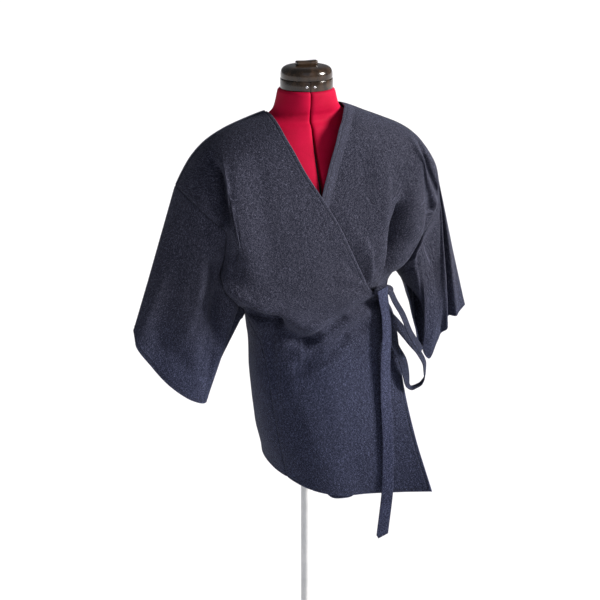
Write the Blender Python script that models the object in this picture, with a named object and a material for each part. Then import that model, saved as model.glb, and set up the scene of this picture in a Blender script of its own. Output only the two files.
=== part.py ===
"""Wrap kimono jacket with wide sleeves, tied at the side, worn on a limbless dress form with a stand.

The jacket's front faces -Y and the wearer's left is +X. The origin is the centre of the base's underside.
Lengths in the tables are millimetres, angles are degrees, and every mesh is made in metres.
"""
import math

import bmesh
import bpy
import numpy as np

MM = 0.001

# Cloth, seams and ties
CLOTH = 2.0
SEAM_GAP = 0.8
UNDER_GAP = 7.0
UNDER_SLACK = 2.2
UNDER_SPREAD = 1.2
INSET_FADE = 24.0
TIE_WIDTH = 25.0
SHORT_TAIL_WIDTH = 22.5
LOOP_WIDTH = 20.0
TIE_THICK = 2.4
KNOT_CLEAR = -2.4

# Shoulders and neck of the jacket
RIDGE_Y = 5.0
SHOULDER_ROUND = 85.0
NECK_RIGHT = 84.0
NECK_LEFT = 80.0
BACK_NECK_DIP = 36.0
ARMPIT_RIGHT = 935.0
ARMPIT_LEFT = 1000.0
HEM_BACK_RISE = 18.0
HEM_FRONT_DIP = 16.0
UNDER_DROOP = 50.0
UNDER_DROOP_X = 24.0
UNDER_DROOP_WIDTH = 46.0

# Dress form, its neck cap and the stand
FORM_BOTTOM = 775.0
FORM_GAP_TOP = 2.4
FORM_GAP_BOTTOM = 9.0
FORM_GAP_START = 1200.0
FORM_GAP_END = 1390.0
CORE_SETBACK = 15.0
RING_BASE = 1400.0
RING_TOP = 1420.0
RING_RADIUS = 54.0
RING_WALL = 5.0
RING_SPLIT = -10.6
RING_SLIT = 0.8
GRIP_LENGTH = 46.0
GRIP_WIDTH = 15.0
GRIP_HEIGHT = 9.0
GRIP_BEVEL = 2.5
SCREW_TURN = 8.5
SCREW_SIDES = 10
POLE_RADIUS = 12.5
BASE_HEIGHT = 26.0
FIT_GAP = 0.3

# The shoulder lines from the neck out to the sleeve seams
RIDGE = (
    # distance from the middle, right height, left height
    (0.0, 1376.0, 1380.0),
    (84.0, 1357.0, 1363.0),
    (130.0, 1343.0, 1345.0),
    (170.0, 1328.0, 1329.0),
    (209.0, 1307.0, 1312.0),
    (240.0, 1279.0, 1292.0),
    (262.0, 1248.0, 1268.0),
    (280.0, 1217.0, 1243.0),
    (294.0, 1190.0, 1219.0),
)

# Level sections of the jacket's body, an oval that the seams cut
RINGS = (
    # height, right x, left x, side y, front y, back y, power
    (1380.0, -292.0, 308.0, 5.0, -96.0, 88.0, 2.4),
    (1217.0, -292.0, 308.0, 5.0, -108.0, 96.0, 2.4),
    (1168.0, -282.0, 300.0, 3.0, -122.0, 104.0, 2.5),
    (1120.0, -262.0, 286.0, 0.0, -130.0, 108.0, 2.6),
    (1040.0, -220.0, 230.0, -5.0, -134.0, 106.0, 2.6),
    (1000.0, -208.0, 195.0, -8.0, -136.0, 103.0, 2.5),
    (975.0, -188.0, 181.0, -9.0, -137.0, 101.0, 2.4),
    (935.0, -142.0, 176.0, -10.0, -138.0, 98.0, 2.2),
    (860.0, -131.0, 178.0, -12.0, -138.0, 102.0, 2.2),
    (780.0, -128.0, 187.0, -14.0, -146.0, 112.0, 2.2),
    (680.0, -116.0, 196.0, -14.0, -160.0, 118.0, 2.2),
    (560.0, -95.0, 202.0, -12.0, -176.0, 124.0, 2.2),
)

# The armhole seams above the armpits, the same in front and behind
ARMHOLES = (
    # height, right x, left x
    (1219.0, -281.0, 294.0),
    (1217.0, -280.0, 293.0),
    (1168.0, -238.0, 288.0),
    (1130.0, -202.0, 274.0),
    (1090.0, -202.0, 236.0),
    (1040.0, -206.0, 212.0),
    (1000.0, -198.0, 195.0),
    (975.0, -178.0, 184.0),
    (935.0, -142.0, 176.0),
)

# Side seams below the armpits, as angles round the section from the front's middle
SIDE_SEAMS = (
    # height, right angle, left angle
    (1000.0, -90.0, 90.0),
    (935.0, -90.0, 91.0),
    (880.0, -70.0, 92.0),
    (780.0, -62.0, 94.0),
    (560.0, -60.0, 95.0),
)

# Free edge of the outer front, from the shoulder to the waist corner and on to the hem corner
OUTER_EDGE = (
    # height, x
    (1357.0, -84.0),
    (1320.0, -74.0),
    (1289.0, -60.0),
    (1250.0, -40.0),
    (1204.0, -12.0),
    (1140.0, 24.0),
    (1075.0, 54.0),
    (1020.0, 80.0),
    (994.0, 94.0),
    (980.0, 112.0),
    (962.0, 140.0),
    (930.0, 158.0),
    (860.0, 171.0),
    (780.0, 180.0),
    (680.0, 191.0),
    (560.0, 209.0),
)

# The outer front's loose flap: how far it reaches past the oval sideways, and forward at its edge
FLAP = (
    # height, sideways, forward
    (1357.0, 0.0, 0.0),
    (994.0, 0.0, 0.0),
    (962.0, 8.0, 0.0),
    (930.0, 24.0, 0.0),
    (860.0, 44.0, 0.0),
    (780.0, 55.0, 6.0),
    (680.0, 62.0, 42.0),
    (560.0, 66.0, 84.0),
)

# Free edge of the under front, which crosses beneath the outer front
UNDER_EDGE = (
    # height, x
    (1364.0, 80.0),
    (1358.0, 66.0),
    (1346.0, 54.0),
    (1326.0, 40.0),
    (1296.0, 29.0),
    (1262.0, 17.0),
    (1230.0, 7.0),
    (1198.0, -4.0),
    (1140.0, -28.0),
    (1060.0, -62.0),
    (985.0, -82.0),
    (860.0, -88.0),
    (700.0, -88.0),
    (556.0, -80.0),
)

# Rows of each side's panels, pairing heights on the front's free edge with heights on its seams
OUTER_ROWS = (
    # share, edge height, seam height
    (0.0, 1357.0, 1217.0),
    (0.25, 1190.0, 1100.0),
    (0.5, 994.0, 935.0),
    (0.75, 800.0, 772.0),
    (1.0, 560.0, 580.0),
)
UNDER_ROWS = (
    # share, edge height, seam height
    (0.0, 1364.0, 1219.0),
    (0.25, 1190.0, 1110.0),
    (0.5, 994.0, 1000.0),
    (0.75, 790.0, 790.0),
    (1.0, 592.0, 588.0),
)

# Folds of the cloth: bell-shaped ridges and troughs across bent lines, seen from the front
FOLDS = (
    # panel, start x, start height, end x, end height, lift, width, bend
    ("outer", -204.0, 1026.0, -44.0, 934.0, 24.0, 20.0, 10.0),
    ("outer", -190.0, 986.0, -56.0, 894.0, -26.0, 17.0, 10.0),
    ("outer", -40.0, 902.0, 112.0, 964.0, -11.0, 12.0, -16.0),
    ("outer", -15.0, 934.0, 104.0, 988.0, 8.0, 14.0, -8.0),
    ("outer", -55.0, 845.0, 66.0, 915.0, -8.0, 16.0, -8.0),
    ("outer", -112.0, 950.0, -110.0, 790.0, -7.0, 11.0, 0.0),
    ("outer", 66.0, 1090.0, 98.0, 1005.0, 6.0, 12.0, 0.0),
    ("outer", 20.0, 800.0, 60.0, 600.0, 6.0, 40.0, 0.0),
    ("outer", -226.0, 1290.0, -202.0, 1100.0, -24.0, 14.0, 4.0),
    ("outer", -176.0, 1250.0, -158.0, 1060.0, 12.0, 24.0, 0.0),
    ("under", 82.0, 1090.0, 106.0, 1000.0, 6.0, 11.0, 0.0),
    ("under", 177.0, 1205.0, 158.0, 1060.0, -24.0, 15.0, 5.0),
    ("under", 168.0, 1110.0, 158.0, 1000.0, -22.0, 22.0, 0.0),
    ("under", 214.0, 1230.0, 212.0, 1090.0, 13.0, 20.0, 0.0),
    ("under", 124.0, 1230.0, 118.0, 1080.0, 8.0, 26.0, 0.0),
    ("right sleeve", -226.0, 1060.0, -208.0, 900.0, -12.0, 14.0, 6.0),
    ("right sleeve", -252.0, 1130.0, -268.0, 860.0, 10.0, 26.0, 8.0),
    ("right sleeve", -300.0, 1110.0, -330.0, 900.0, -7.0, 24.0, 0.0),
    ("left sleeve", 272.0, 1225.0, 306.0, 890.0, 17.0, 14.0, 8.0),
    ("left sleeve", 293.0, 1210.0, 322.0, 890.0, -26.0, 12.0, 8.0),
    ("left sleeve", 214.0, 1016.0, 262.0, 1008.0, -9.0, 14.0, 0.0),
)

# Cuff openings, run from the top fold down the front to the underarm and back up behind
CUFF_RIGHT = (
    # share round, x, y, height
    (0.0, -380.0, 5.0, 916.0),
    (0.08, -380.0, -18.0, 893.0),
    (0.2, -349.0, -45.0, 840.0),
    (0.3, -316.0, -55.0, 799.0),
    (0.4, -270.0, -44.0, 764.0),
    (0.47, -241.0, -22.0, 753.0),
    (0.5, -231.0, 0.0, 762.0),
    (0.56, -240.0, 24.0, 775.0),
    (0.7, -296.0, 46.0, 812.0),
    (0.85, -352.0, 42.0, 872.0),
    (1.0, -380.0, 5.0, 916.0),
)
CUFF_LEFT = (
    # share round, x, y, height
    (0.0, 384.0, 8.0, 882.0),
    (0.06, 352.0, -8.0, 866.0),
    (0.13, 316.0, -28.0, 862.0),
    (0.19, 288.0, -52.0, 832.0),
    (0.25, 266.0, -72.0, 793.0),
    (0.3, 248.0, -77.0, 822.0),
    (0.37, 251.0, -78.0, 888.0),
    (0.43, 238.0, -62.0, 934.0),
    (0.5, 218.0, -28.0, 964.0),
    (0.56, 240.0, 0.0, 922.0),
    (0.62, 258.0, 16.0, 868.0),
    (0.68, 280.0, 26.0, 806.0),
    (0.72, 292.0, 31.0, 778.0),
    (0.765, 310.0, 36.0, 792.0),
    (0.81, 330.0, 40.0, 828.0),
    (0.88, 356.0, 40.0, 848.0),
    (0.94, 378.0, 28.0, 864.0),
    (1.0, 384.0, 8.0, 882.0),
)
SLEEVE_BULGE = 9.0

# The ties: middle line of each strap and the way its width runs
LONG_TAIL = (
    # along, x, height, clear of the front
    (0.0, 124.0, 995.0, 13.5),
    (0.05, 126.0, 982.0, 16.0),
    (0.12, 128.0, 950.0, 19.5),
    (0.22, 127.5, 900.0, 20.0),
    (0.35, 125.0, 832.0, 14.5),
    (0.55, 121.5, 720.0, 7.5),
    (0.84, 112.0, 556.0, 5.0),
    (1.0, 103.0, 456.0, 6.0),
)
SHORT_TAIL = (
    # along, x, y, height, width x, width y, width height
    (0.0, 150.5, -115.5, 972.5, 0.74, 0.68, 0.0),
    (0.12, 154.5, -125.0, 957.5, 0.74, 0.68, 0.0),
    (0.38, 164.0, -140.0, 935.0, 0.74, 0.68, 0.0),
    (0.65, 177.0, -149.0, 898.0, 0.74, 0.68, 0.0),
    (1.0, 203.0, -154.0, 854.0, 0.8, 0.6, 0.0),
)
LOOP = (
    # along, x, y, height, width x, width y, width height
    (0.0, 130.0, -120.5, 973.5, 0.9, 0.45, 0.0),
    (0.036, 131.0, -121.0, 950.0, 0.9, 0.45, 0.0),
    (0.074, 138.0, -120.5, 934.0, 0.87, 0.35, 0.35),
    (0.125, 154.0, -121.5, 914.0, 0.79, 0.0, 0.6),
    (0.185, 171.0, -125.0, 893.0, 0.78, 0.3, 0.5),
    (0.262, 189.0, -128.0, 866.0, 0.76, 0.6, 0.2),
    (0.339, 209.0, -131.0, 839.0, 0.75, 0.65, 0.0),
    (0.409, 221.0, -134.0, 810.0, 0.65, 0.75, 0.0),
    (0.456, 221.0, -136.0, 789.0, 0.5, 0.86, 0.0),
    (0.501, 210.0, -138.0, 771.0, 0.35, 0.93, 0.0),
    (0.544, 191.0, -140.0, 766.0, 0.3, 0.95, 0.0),
    (0.582, 177.0, -141.0, 776.0, 0.35, 0.93, 0.0),
    (0.639, 171.0, -141.0, 801.0, 0.6, 0.8, 0.0),
    (0.707, 165.0, -138.0, 829.0, 0.75, 0.66, 0.0),
    (0.777, 153.0, -133.0, 856.0, 0.8, 0.6, 0.0),
    (0.844, 140.0, -129.5, 886.0, 0.9, 0.42, 0.0),
    (0.921, 132.0, -122.3, 920.0, 0.9, 0.45, 0.0),
    (1.0, 130.0, -117.0, 973.0, 0.9, 0.45, 0.0),
)
TIE_KNOT = (
    # along, x, height, half height, half depth
    (0.0, 102.0, 990.0, 4.0, 3.6),
    (0.3, 113.0, 989.0, 10.0, 6.6),
    (0.65, 130.0, 987.0, 11.5, 7.65),
    (1.0, 155.0, 981.0, 9.5, 5.8),
)

# The limbless form, section by section up to the neck ring
FORM = (
    # height, middle x, half width, middle y, half depth, power, split x
    (775.0, 14.0, 126.0, -3.0, 96.0, 2.2, 0.0),
    (800.0, 14.0, 127.0, -3.0, 96.0, 2.2, 0.0),
    (860.0, 12.0, 122.0, -4.0, 84.0, 2.2, 0.0),
    (935.0, 10.0, 112.0, -8.0, 80.0, 2.2, 0.0),
    (985.0, 8.0, 112.0, -9.0, 84.0, 2.2, 0.0),
    (1040.0, 6.0, 126.0, -10.0, 94.0, 2.2, 0.0),
    (1120.0, 3.0, 146.0, -10.0, 98.0, 2.2, 0.0),
    (1200.0, 0.0, 158.0, -5.0, 88.0, 2.2, 0.0),
    (1250.0, 0.0, 168.0, -1.0, 80.0, 2.0, -4.0),
    (1289.0, 0.0, 180.0, 4.0, 72.0, 1.8, -6.0),
    (1310.0, 0.0, 176.0, 4.0, 66.0, 1.6, -7.0),
    (1327.5, 0.0, 160.0, 4.0, 62.0, 1.45, -8.0),
    (1341.0, 0.0, 120.5, 1.0, 50.0, 1.4, -9.0),
    (1351.0, 0.0, 85.5, 0.0, 49.8, 1.57, -9.0),
    (1361.0, 0.0, 71.0, 0.0, 54.0, 1.85, -10.0),
    (1375.0, 0.0, 64.5, 0.0, 57.0, 2.0, -10.0),
    (1392.0, 0.0, 60.0, 0.0, 58.0, 2.0, -10.0),
    (1398.0, 0.0, 58.0, 0.0, 57.0, 2.0, -10.0),
    (1399.7, 0.0, 55.0, 0.0, 54.0, 2.0, -10.0),
)

# The turned profiles of the cap and of the base
CAP_PROFILE = (
    # radius, height above the ring's top
    (51.0, 0.3),
    (53.0, 3.0),
    (53.0, 12.0),
    (51.5, 17.0),
    (48.0, 21.5),
    (42.0, 24.7),
    (30.0, 25.9),
    (12.0, 26.0),
)
BASE_PROFILE = (
    # radius, height
    (185.0, 0.0),
    (185.0, 6.0),
    (178.0, 10.0),
    (90.0, 14.0),
    (40.0, 18.0),
    (24.0, 22.0),
    (22.0, 26.0),
)

# A screw head's profile
SCREW_PROFILE = (
    # radius, lift from the ring
    (2.8, 0.0),
    (2.8, 0.8),
    (1.7, 1.6),
)

# How far in front of an arm each armhole seam is drawn back
SEAM_SINK = (
    # seam height, right, left
    (1219.0, 0.0, 0.0),
    (1170.0, 4.0, 0.0),
    (1130.0, 12.0, 6.0),
    (1090.0, 18.0, 10.0),
    (1040.0, 16.0, 8.0),
    (1000.0, 10.0, 0.0),
    (935.0, 0.0, 0.0),
)

# Where shaping fades out on a panel, as shares of its length or width
SHOULDER_FADE = 0.06
SHOULDER_LINE_FADE = 0.3
SEAM_FADE = 0.14
EDGE_FADE = 0.05
SINK_FADE = 0.1
HEM_START = 0.7

# Grid sizes
UPPER_ROWS = 19
LOWER_ROWS = 17
OUTER_COLUMNS = 28
UNDER_COLUMNS = 20
BACK_COLUMNS = 21
SLEEVE_ROWS = 13
ROUND_SIDES = 32
LONG_TAIL_RINGS = 24
SHORT_TAIL_RINGS = 10
LOOP_RINGS = 34
FORM_SIDES = 18


def smooth(rows, column, at):
    """Read one column of a table by a cubic through its rows that doesn't overshoot them."""
    data = np.array(rows, dtype=float)
    data = data[np.argsort(data[:, 0])]
    key = data[:, 0]
    value = data[:, column]
    step = np.diff(key)
    slope = np.diff(value) / step
    tangent = np.concatenate([slope[:1], slope])
    product = slope[:-1] * slope[1:]
    total = np.where(product > 0, slope[:-1] + slope[1:], 1.0)
    tangent[1:-1] = np.where(product > 0, 2 * product / total, 0.0)
    at = np.clip(np.asarray(at, dtype=float), key[0], key[-1])
    index = np.clip(np.searchsorted(key, at, side="right") - 1, 0, len(key) - 2)
    t = (at - key[index]) / step[index]
    return (
        (2 * t**3 - 3 * t**2 + 1) * value[index]
        + (t**3 - 2 * t**2 + t) * step[index] * tangent[index]
        + (3 * t**2 - 2 * t**3) * value[index + 1]
        + (t**3 - t**2) * step[index] * tangent[index + 1]
    )


def ease(value):
    value = np.clip(value, 0.0, 1.0)
    return value * value * (3 - 2 * value)


def blend(start, end, share):
    return start + (end - start) * share


def unit(vector):
    return vector / np.maximum(np.linalg.norm(vector, axis=-1, keepdims=True), 1e-9)


def ridge_height(x):
    return np.where(x < 0, smooth(RIDGE, 1, np.abs(x)), smooth(RIDGE, 2, np.abs(x)))


def section_angle(x, height):
    """The angle, on the front half of the section at this height, whose point has this x."""
    right = smooth(RINGS, 1, height)
    left = smooth(RINGS, 2, height)
    power = smooth(RINGS, 6, height)
    reach = np.clip((2 * x - right - left) / (left - right), -1.0, 1.0)
    return np.sign(reach) * np.degrees(np.arcsin(np.abs(reach) ** (power / 2)))


def body_point(angle, height, inset=0.0):
    """A point of the body's oval. Angle 0 is the front's middle, +-90 the sides and 180 the back's."""
    right = smooth(RINGS, 1, height)
    left = smooth(RINGS, 2, height)
    side_y = smooth(RINGS, 3, height)
    power = smooth(RINGS, 6, height)
    sine = np.sin(np.radians(angle))
    cosine = np.cos(np.radians(angle))
    half = (left - right) / 2 - inset
    x = (left + right) / 2 + half * np.sign(sine) * np.abs(sine) ** (2 / power)
    front = smooth(RINGS, 4, height) + inset - side_y
    back = smooth(RINGS, 5, height) - inset - side_y
    y = side_y + np.where(cosine > 0, front, back) * np.abs(cosine) ** (2 / power)
    drop = np.clip((ridge_height(x) - height) / SHOULDER_ROUND, 0.0, 1.0)
    turn = np.sqrt(1 - (1 - drop) ** 2)
    return np.stack([x, RIDGE_Y + (y - RIDGE_Y) * turn, height + 0 * x], axis=-1)


def fold_lift(panel, x, height, spread=1.0):
    """How far the folds of a panel lift its points: bells across bent lines that fade past their ends.

    Spread widens the troughs, for a layer that lies beneath them.
    """
    lift = np.zeros_like(x)
    for name, x0, z0, x1, z1, tall, width, bend in FOLDS:
        if name == panel:
            length = math.hypot(x1 - x0, z1 - z0)
            along = ((x - x0) * (x1 - x0) + (height - z0) * (z1 - z0)) / length**2
            across = ((x - x0) * (z1 - z0) - (height - z0) * (x1 - x0)) / length
            across = across - bend * 4 * along * (1 - along)
            past = np.maximum(np.abs(along - 0.5) - 0.5, 0.0) * length
            width = width * spread if tall < 0 else width
            lift += tall * np.exp(-((across / width) ** 2) - (past / (1.5 * width)) ** 2)
    return lift


def row_shares():
    """Shares down a panel, close together at the shoulder, with one row exactly at the armpit."""
    t = np.linspace(0.0, 1.0, UPPER_ROWS)
    upper = 0.5 * (0.6 * t + 0.4 * t * t)
    return np.concatenate([upper, np.linspace(0.5, 1.0, LOWER_ROWS)[1:]])


def seam_angle(height, side):
    """Angle of the seam on one side: the armhole down to the armpit, then the side seam."""
    column, armpit = (1, ARMPIT_RIGHT) if side == "right" else (2, ARMPIT_LEFT)
    on_armhole = section_angle(smooth(ARMHOLES, column, height), height)
    return np.where(height > armpit + 0.5, on_armhole, smooth(SIDE_SEAMS, column, height))


def back_angle(height, side):
    """Angle of the same seam where the back panel meets it, mirrored behind above the armpit."""
    front = seam_angle(height, side)
    armpit = ARMPIT_RIGHT if side == "right" else ARMPIT_LEFT
    if side == "right":
        return np.where(height > armpit + 0.5, 180 - front, 360 + front)
    return np.where(height > armpit + 0.5, 180 - front, front)


def seam_sink(height, side):
    """How far back the front's armhole seam is drawn at this height, so that it sinks behind the sleeve."""
    return smooth(SEAM_SINK, 1 if side == "right" else 2, height)


def panel_heights(edge_height, seam_height, across, down, angle, top):
    """Heights over a panel: straight between its two sides, but following the shoulder line at the top."""
    height = blend(edge_height, seam_height, across)
    shoulder = body_point(angle[:1], 1300.0 + 0 * angle[:1])
    return height + (top(shoulder[..., 0]) - height[:1]) * (1 - ease(down / SHOULDER_LINE_FADE))


def front_grid(panel, across, down):
    """Points of a front panel, from its free edge (across 0) to its seams (across 1)."""
    rows, edge, side = (OUTER_ROWS, OUTER_EDGE, "right") if panel == "outer" else (UNDER_ROWS, UNDER_EDGE, "left")
    down = down[:, None] + 0 * across[None, :]
    across = across[None, :] + 0 * down
    edge_height = smooth(rows, 1, down)
    seam_height = smooth(rows, 2, down)
    sideways = smooth(FLAP, 1, edge_height) if panel == "outer" else 0.0
    edge_angle = section_angle(smooth(edge, 1, edge_height) - sideways, edge_height)
    end_angle = seam_angle(seam_height, side)
    angle = blend(edge_angle, end_angle, across)
    height = panel_heights(edge_height, seam_height, across, down, angle, ridge_height)
    calm = ease(down / SHOULDER_FADE) * ease((1 - across) / SEAM_FADE) * ease(across / EDGE_FADE + 0.35)
    if panel == "outer":
        dip = HEM_FRONT_DIP * np.sin(np.pi * np.clip(across, 0.0, 1.0)) ** 0.85
        height = height - dip * ease((down - HEM_START) / (1 - HEM_START))
        points = body_point(angle, height)
        share = np.clip(angle / np.maximum(edge_angle, 1.0), 0.0, 1.0)
        points[..., 0] += smooth(FLAP, 1, height) * ease(angle / 45.0)
        points[..., 1] -= smooth(FLAP, 2, height) * share**1.6
        lift = fold_lift("outer", points[..., 0], height) * calm
    else:
        fade = ease((end_angle - angle) / INSET_FADE) * ease(down / 0.1)
        points = body_point(angle, height, UNDER_GAP * fade)
        lift = np.minimum(fold_lift("outer", points[..., 0], height, UNDER_SPREAD), 0.0) - UNDER_SLACK
        lift = lift * fade * ease(down / SHOULDER_FADE)
        lift = lift + fold_lift("under", points[..., 0], height) * calm
        droop = np.exp(-(((points[..., 0] - UNDER_DROOP_X) / UNDER_DROOP_WIDTH) ** 4))
        points[..., 2] -= UNDER_DROOP * droop * ease((down - HEM_START) / (1 - HEM_START))
    points = points + unit(points * np.array([1.0, 1.0, 0.0])) * lift[..., None]
    points[..., 1] += seam_sink(seam_height, side) * ease(1 - (1 - across) / SINK_FADE) ** 1.5
    return points


def back_grid(across, down):
    """Points of the back, from its left seams (across 0) round to its right seams (across 1)."""
    down = down[:, None] + 0 * across[None, :]
    across = across[None, :] + 0 * down
    left_height = smooth(UNDER_ROWS, 2, down)
    right_height = smooth(OUTER_ROWS, 2, down)
    angle = blend(back_angle(left_height, "left"), back_angle(right_height, "right"), across)

    def top(x):
        inside = np.clip(1 - (x / np.where(x < 0, NECK_RIGHT, NECK_LEFT)) ** 2, 0.0, 1.0)
        return ridge_height(x) - BACK_NECK_DIP * inside**0.7

    height = panel_heights(left_height, right_height, across, down, angle, top)
    height = height + HEM_BACK_RISE * np.sin(np.pi * across) * ease((down - HEM_START + 0.1) / (1.1 - HEM_START))
    return body_point(angle, height)


def surface_normals(points):
    """Outward directions on a grid, from its own rows and columns, turned away from the body's axis."""
    normal = unit(np.cross(np.gradient(points, axis=1), np.gradient(points, axis=0)))
    away = points * np.array([1.0, 1.0, 0.0])
    flip = np.sign(np.sum(normal * away))
    return normal * flip


def body_normals(angle, height):
    """Outward directions of the plain oval, which panels share where a seam joins them."""
    step = 0.5
    turn = body_point(angle + step, height) - body_point(angle - step, height)
    fall = body_point(angle, height - step) - body_point(angle, height + step)
    normal = unit(np.cross(turn, fall))
    away = body_point(angle, height) * np.array([1.0, 1.0, 0.0])
    return normal * np.sign(np.sum(normal * away, axis=-1, keepdims=True))


def pull_in(points, row, column):
    """Draw one edge row or column of a grid back along the surface by half the seam gap."""
    edge = (slice(None), column) if row is None else (row, slice(None))
    neighbour = (slice(None), 1 if column == 0 else -2) if row is None else (1 if row == 0 else -2, slice(None))
    points[edge] = points[edge] + unit(points[neighbour] - points[edge]) * SEAM_GAP / 2


def material(name, colour, roughness, metallic=0.0):
    finish = bpy.data.materials.new(name)
    finish.use_nodes = True
    shader = finish.node_tree.nodes["Principled BSDF"]
    shader.inputs["Base Color"].default_value = (*colour, 1.0)
    shader.inputs["Roughness"].default_value = roughness
    shader.inputs["Metallic"].default_value = metallic
    return finish


def add_object(name, points, faces, finish):
    """Make a mesh object from millimetre points, with its faces turned outwards."""
    mesh = bpy.data.meshes.new(name)
    mesh.from_pydata((np.asarray(points) * MM).tolist(), [], faces)
    work = bmesh.new()
    work.from_mesh(mesh)
    bmesh.ops.recalc_face_normals(work, faces=work.faces)
    work.to_mesh(mesh)
    work.free()
    mesh.materials.append(finish)
    mesh.shade_smooth()
    mesh.set_sharp_from_angle(angle=math.radians(40))
    item = bpy.data.objects.new(name, mesh)
    bpy.context.scene.collection.objects.link(item)
    return item


def skin_faces(rows, columns, around, offset, flip):
    """Quads of a grid. A grid that runs around closes its last column on its first."""
    faces = []
    for i in range(rows - 1):
        for j in range(columns if around else columns - 1):
            a = offset + i * columns + j
            b = offset + i * columns + (j + 1) % columns
            quad = (a, b, b + columns, a + columns)
            faces.append(quad[::-1] if flip else quad)
    return faces


def wall(name, outer, inward, finish, around=False):
    """Close a grid of outer points into a cloth wall: outer skin, inner skin and its free edges."""
    rows, columns = outer.shape[:2]
    size = rows * columns
    points = np.concatenate([outer.reshape(-1, 3), (outer + inward * CLOTH).reshape(-1, 3)])
    faces = skin_faces(rows, columns, around, 0, False) + skin_faces(rows, columns, around, size, True)
    if around:
        loops = [[row * columns + j for j in range(columns)] for row in (0, rows - 1)]
    else:
        loop = list(range(columns))
        loop += [i * columns + columns - 1 for i in range(1, rows)]
        loop += [(rows - 1) * columns + j for j in range(columns - 2, -1, -1)]
        loop += [i * columns for i in range(rows - 2, 0, -1)]
        loops = [loop]
    for loop in loops:
        for k, a in enumerate(loop):
            b = loop[(k + 1) % len(loop)]
            faces.append((b, a, size + a, size + b))
    return add_object(name, points, faces, finish)


def make_front(name, panel, columns, finish):
    down = row_shares()
    across = np.linspace(0.0, 1.0, columns)
    points = front_grid(panel, across, down)
    side = "right" if panel == "outer" else "left"
    rows = OUTER_ROWS if panel == "outer" else UNDER_ROWS
    seam_height = smooth(rows, 2, down)
    normals = surface_normals(points)
    normals[:, -1] = body_normals(seam_angle(seam_height, side), seam_height)
    normals[0] = unit(normals[0] * np.array([1.0, 0.0, 1.0]) + np.array([0.0, 0.0, 1e-6]))
    pull_in(points, None, -1)
    points[0, :, 1] = RIDGE_Y - SEAM_GAP / 2
    return wall(name, points, -normals, finish)


def make_back(finish):
    down = row_shares()
    points = back_grid(np.linspace(0.0, 1.0, BACK_COLUMNS), down)
    normals = surface_normals(points)
    for column, rows, side in ((0, UNDER_ROWS, "left"), (-1, OUTER_ROWS, "right")):
        height = smooth(rows, 2, down)
        angle = back_angle(height, side)
        normals[:, column] = body_normals(angle, height)
        pull_in(points, None, column)
    shoulder = (points[0, :, 0] <= -NECK_RIGHT) | (points[0, :, 0] >= NECK_LEFT)
    normals[0, shoulder] = unit(normals[0, shoulder] * np.array([1.0, 0.0, 1.0]))
    points[0, shoulder, 1] = RIDGE_Y + SEAM_GAP / 2
    return wall("back", points, -normals, finish)


def armhole_loop(side):
    """Points round an armhole from the top fold down the front to the armpit and up behind."""
    rows = OUTER_ROWS if side == "right" else UNDER_ROWS
    height = smooth(rows, 2, row_shares()[:UPPER_ROWS])
    front = seam_angle(height, side)
    behind = back_angle(height, side)
    ahead = body_point(front, height)
    ahead[:, 1] += seam_sink(height, side)
    points = np.concatenate([ahead, body_point(behind, height)[-2:0:-1]])
    normals = np.concatenate([body_normals(front, height), body_normals(behind, height)[-2:0:-1]])
    return points, normals


def sleeve_grid(side, along):
    """Points of a sleeve lofted from its armhole to its cuff, a little full in front and behind."""
    start, normals = armhole_loop(side)
    count = len(start)
    share = np.arange(count) / count
    cuff = CUFF_RIGHT if side == "right" else CUFF_LEFT
    end = np.stack([smooth(cuff, column, share) for column in (1, 2, 3)], axis=-1)
    t = along[:, None, None]
    points = blend(start[None], end[None], t)
    full = SLEEVE_BULGE * np.sin(np.pi * along)[:, None] * np.sin(2 * np.pi * share)[None, :]
    points[..., 1] -= full
    lift = fold_lift(side + " sleeve", points[..., 0], points[..., 2])
    front = ease(np.sin(2 * np.pi * share) / 0.5)[None, :] * ease(along / 0.15)[:, None]
    points[..., 1] -= lift * front
    return points, normals


def make_sleeve(side, finish):
    points, seam = sleeve_grid(side, np.linspace(0.0, 1.0, SLEEVE_ROWS))
    axis = points.mean(axis=1, keepdims=True)
    around = np.roll(points, -1, axis=1) - np.roll(points, 1, axis=1)
    down = np.gradient(points, axis=0)
    normals = unit(np.cross(around, down))
    normals *= np.sign(np.sum(normals * (points - axis)))
    points[0] += unit(points[1] - points[0]) * SEAM_GAP / 2
    same = np.clip(np.sum(normals[0] * seam, axis=-1, keepdims=True) * 2 - 0.6, 0.0, 1.0)
    normals[0] = unit(blend(normals[0], seam, same))
    return wall("sleeve_" + side, points, -normals, finish, around=True)


def front_depth(x, height):
    """How far forward the outer front lies at these places, read from its nearest points."""
    points = front_grid("outer", np.linspace(0.0, 1.0, 61), np.linspace(0.0, 1.0, 121)).reshape(-1, 3)
    points = points[points[:, 1] < 0.0]
    away = (points[:, 0] - x[:, None]) ** 2 + (points[:, 2] - height[:, None]) ** 2
    near = np.argsort(away, axis=1)[:, :4]
    weight = 1 / (np.take_along_axis(away, near, axis=1) + 1.0)
    return np.sum(points[near, 1] * weight, axis=1) / np.sum(weight, axis=1)


def make_tail(finish):
    """The long tail: it hangs down the outer front and on below the hem, turned as the front is turned."""
    along = np.linspace(0.0, 1.0, LONG_TAIL_RINGS)
    x, height, clear = (smooth(LONG_TAIL, column, along) for column in (1, 2, 3))
    right = front_depth(x - TIE_WIDTH / 2, height)
    left = front_depth(x + TIE_WIDTH / 2, height)
    middle = np.stack([x, np.minimum((left + right) / 2, front_depth(x, height)) - clear, height], axis=-1)
    side = np.stack([TIE_WIDTH + 0 * x, left - right, 0 * x], axis=-1)
    return make_strap("tie_long_tail", middle, side, TIE_WIDTH, finish)


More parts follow.
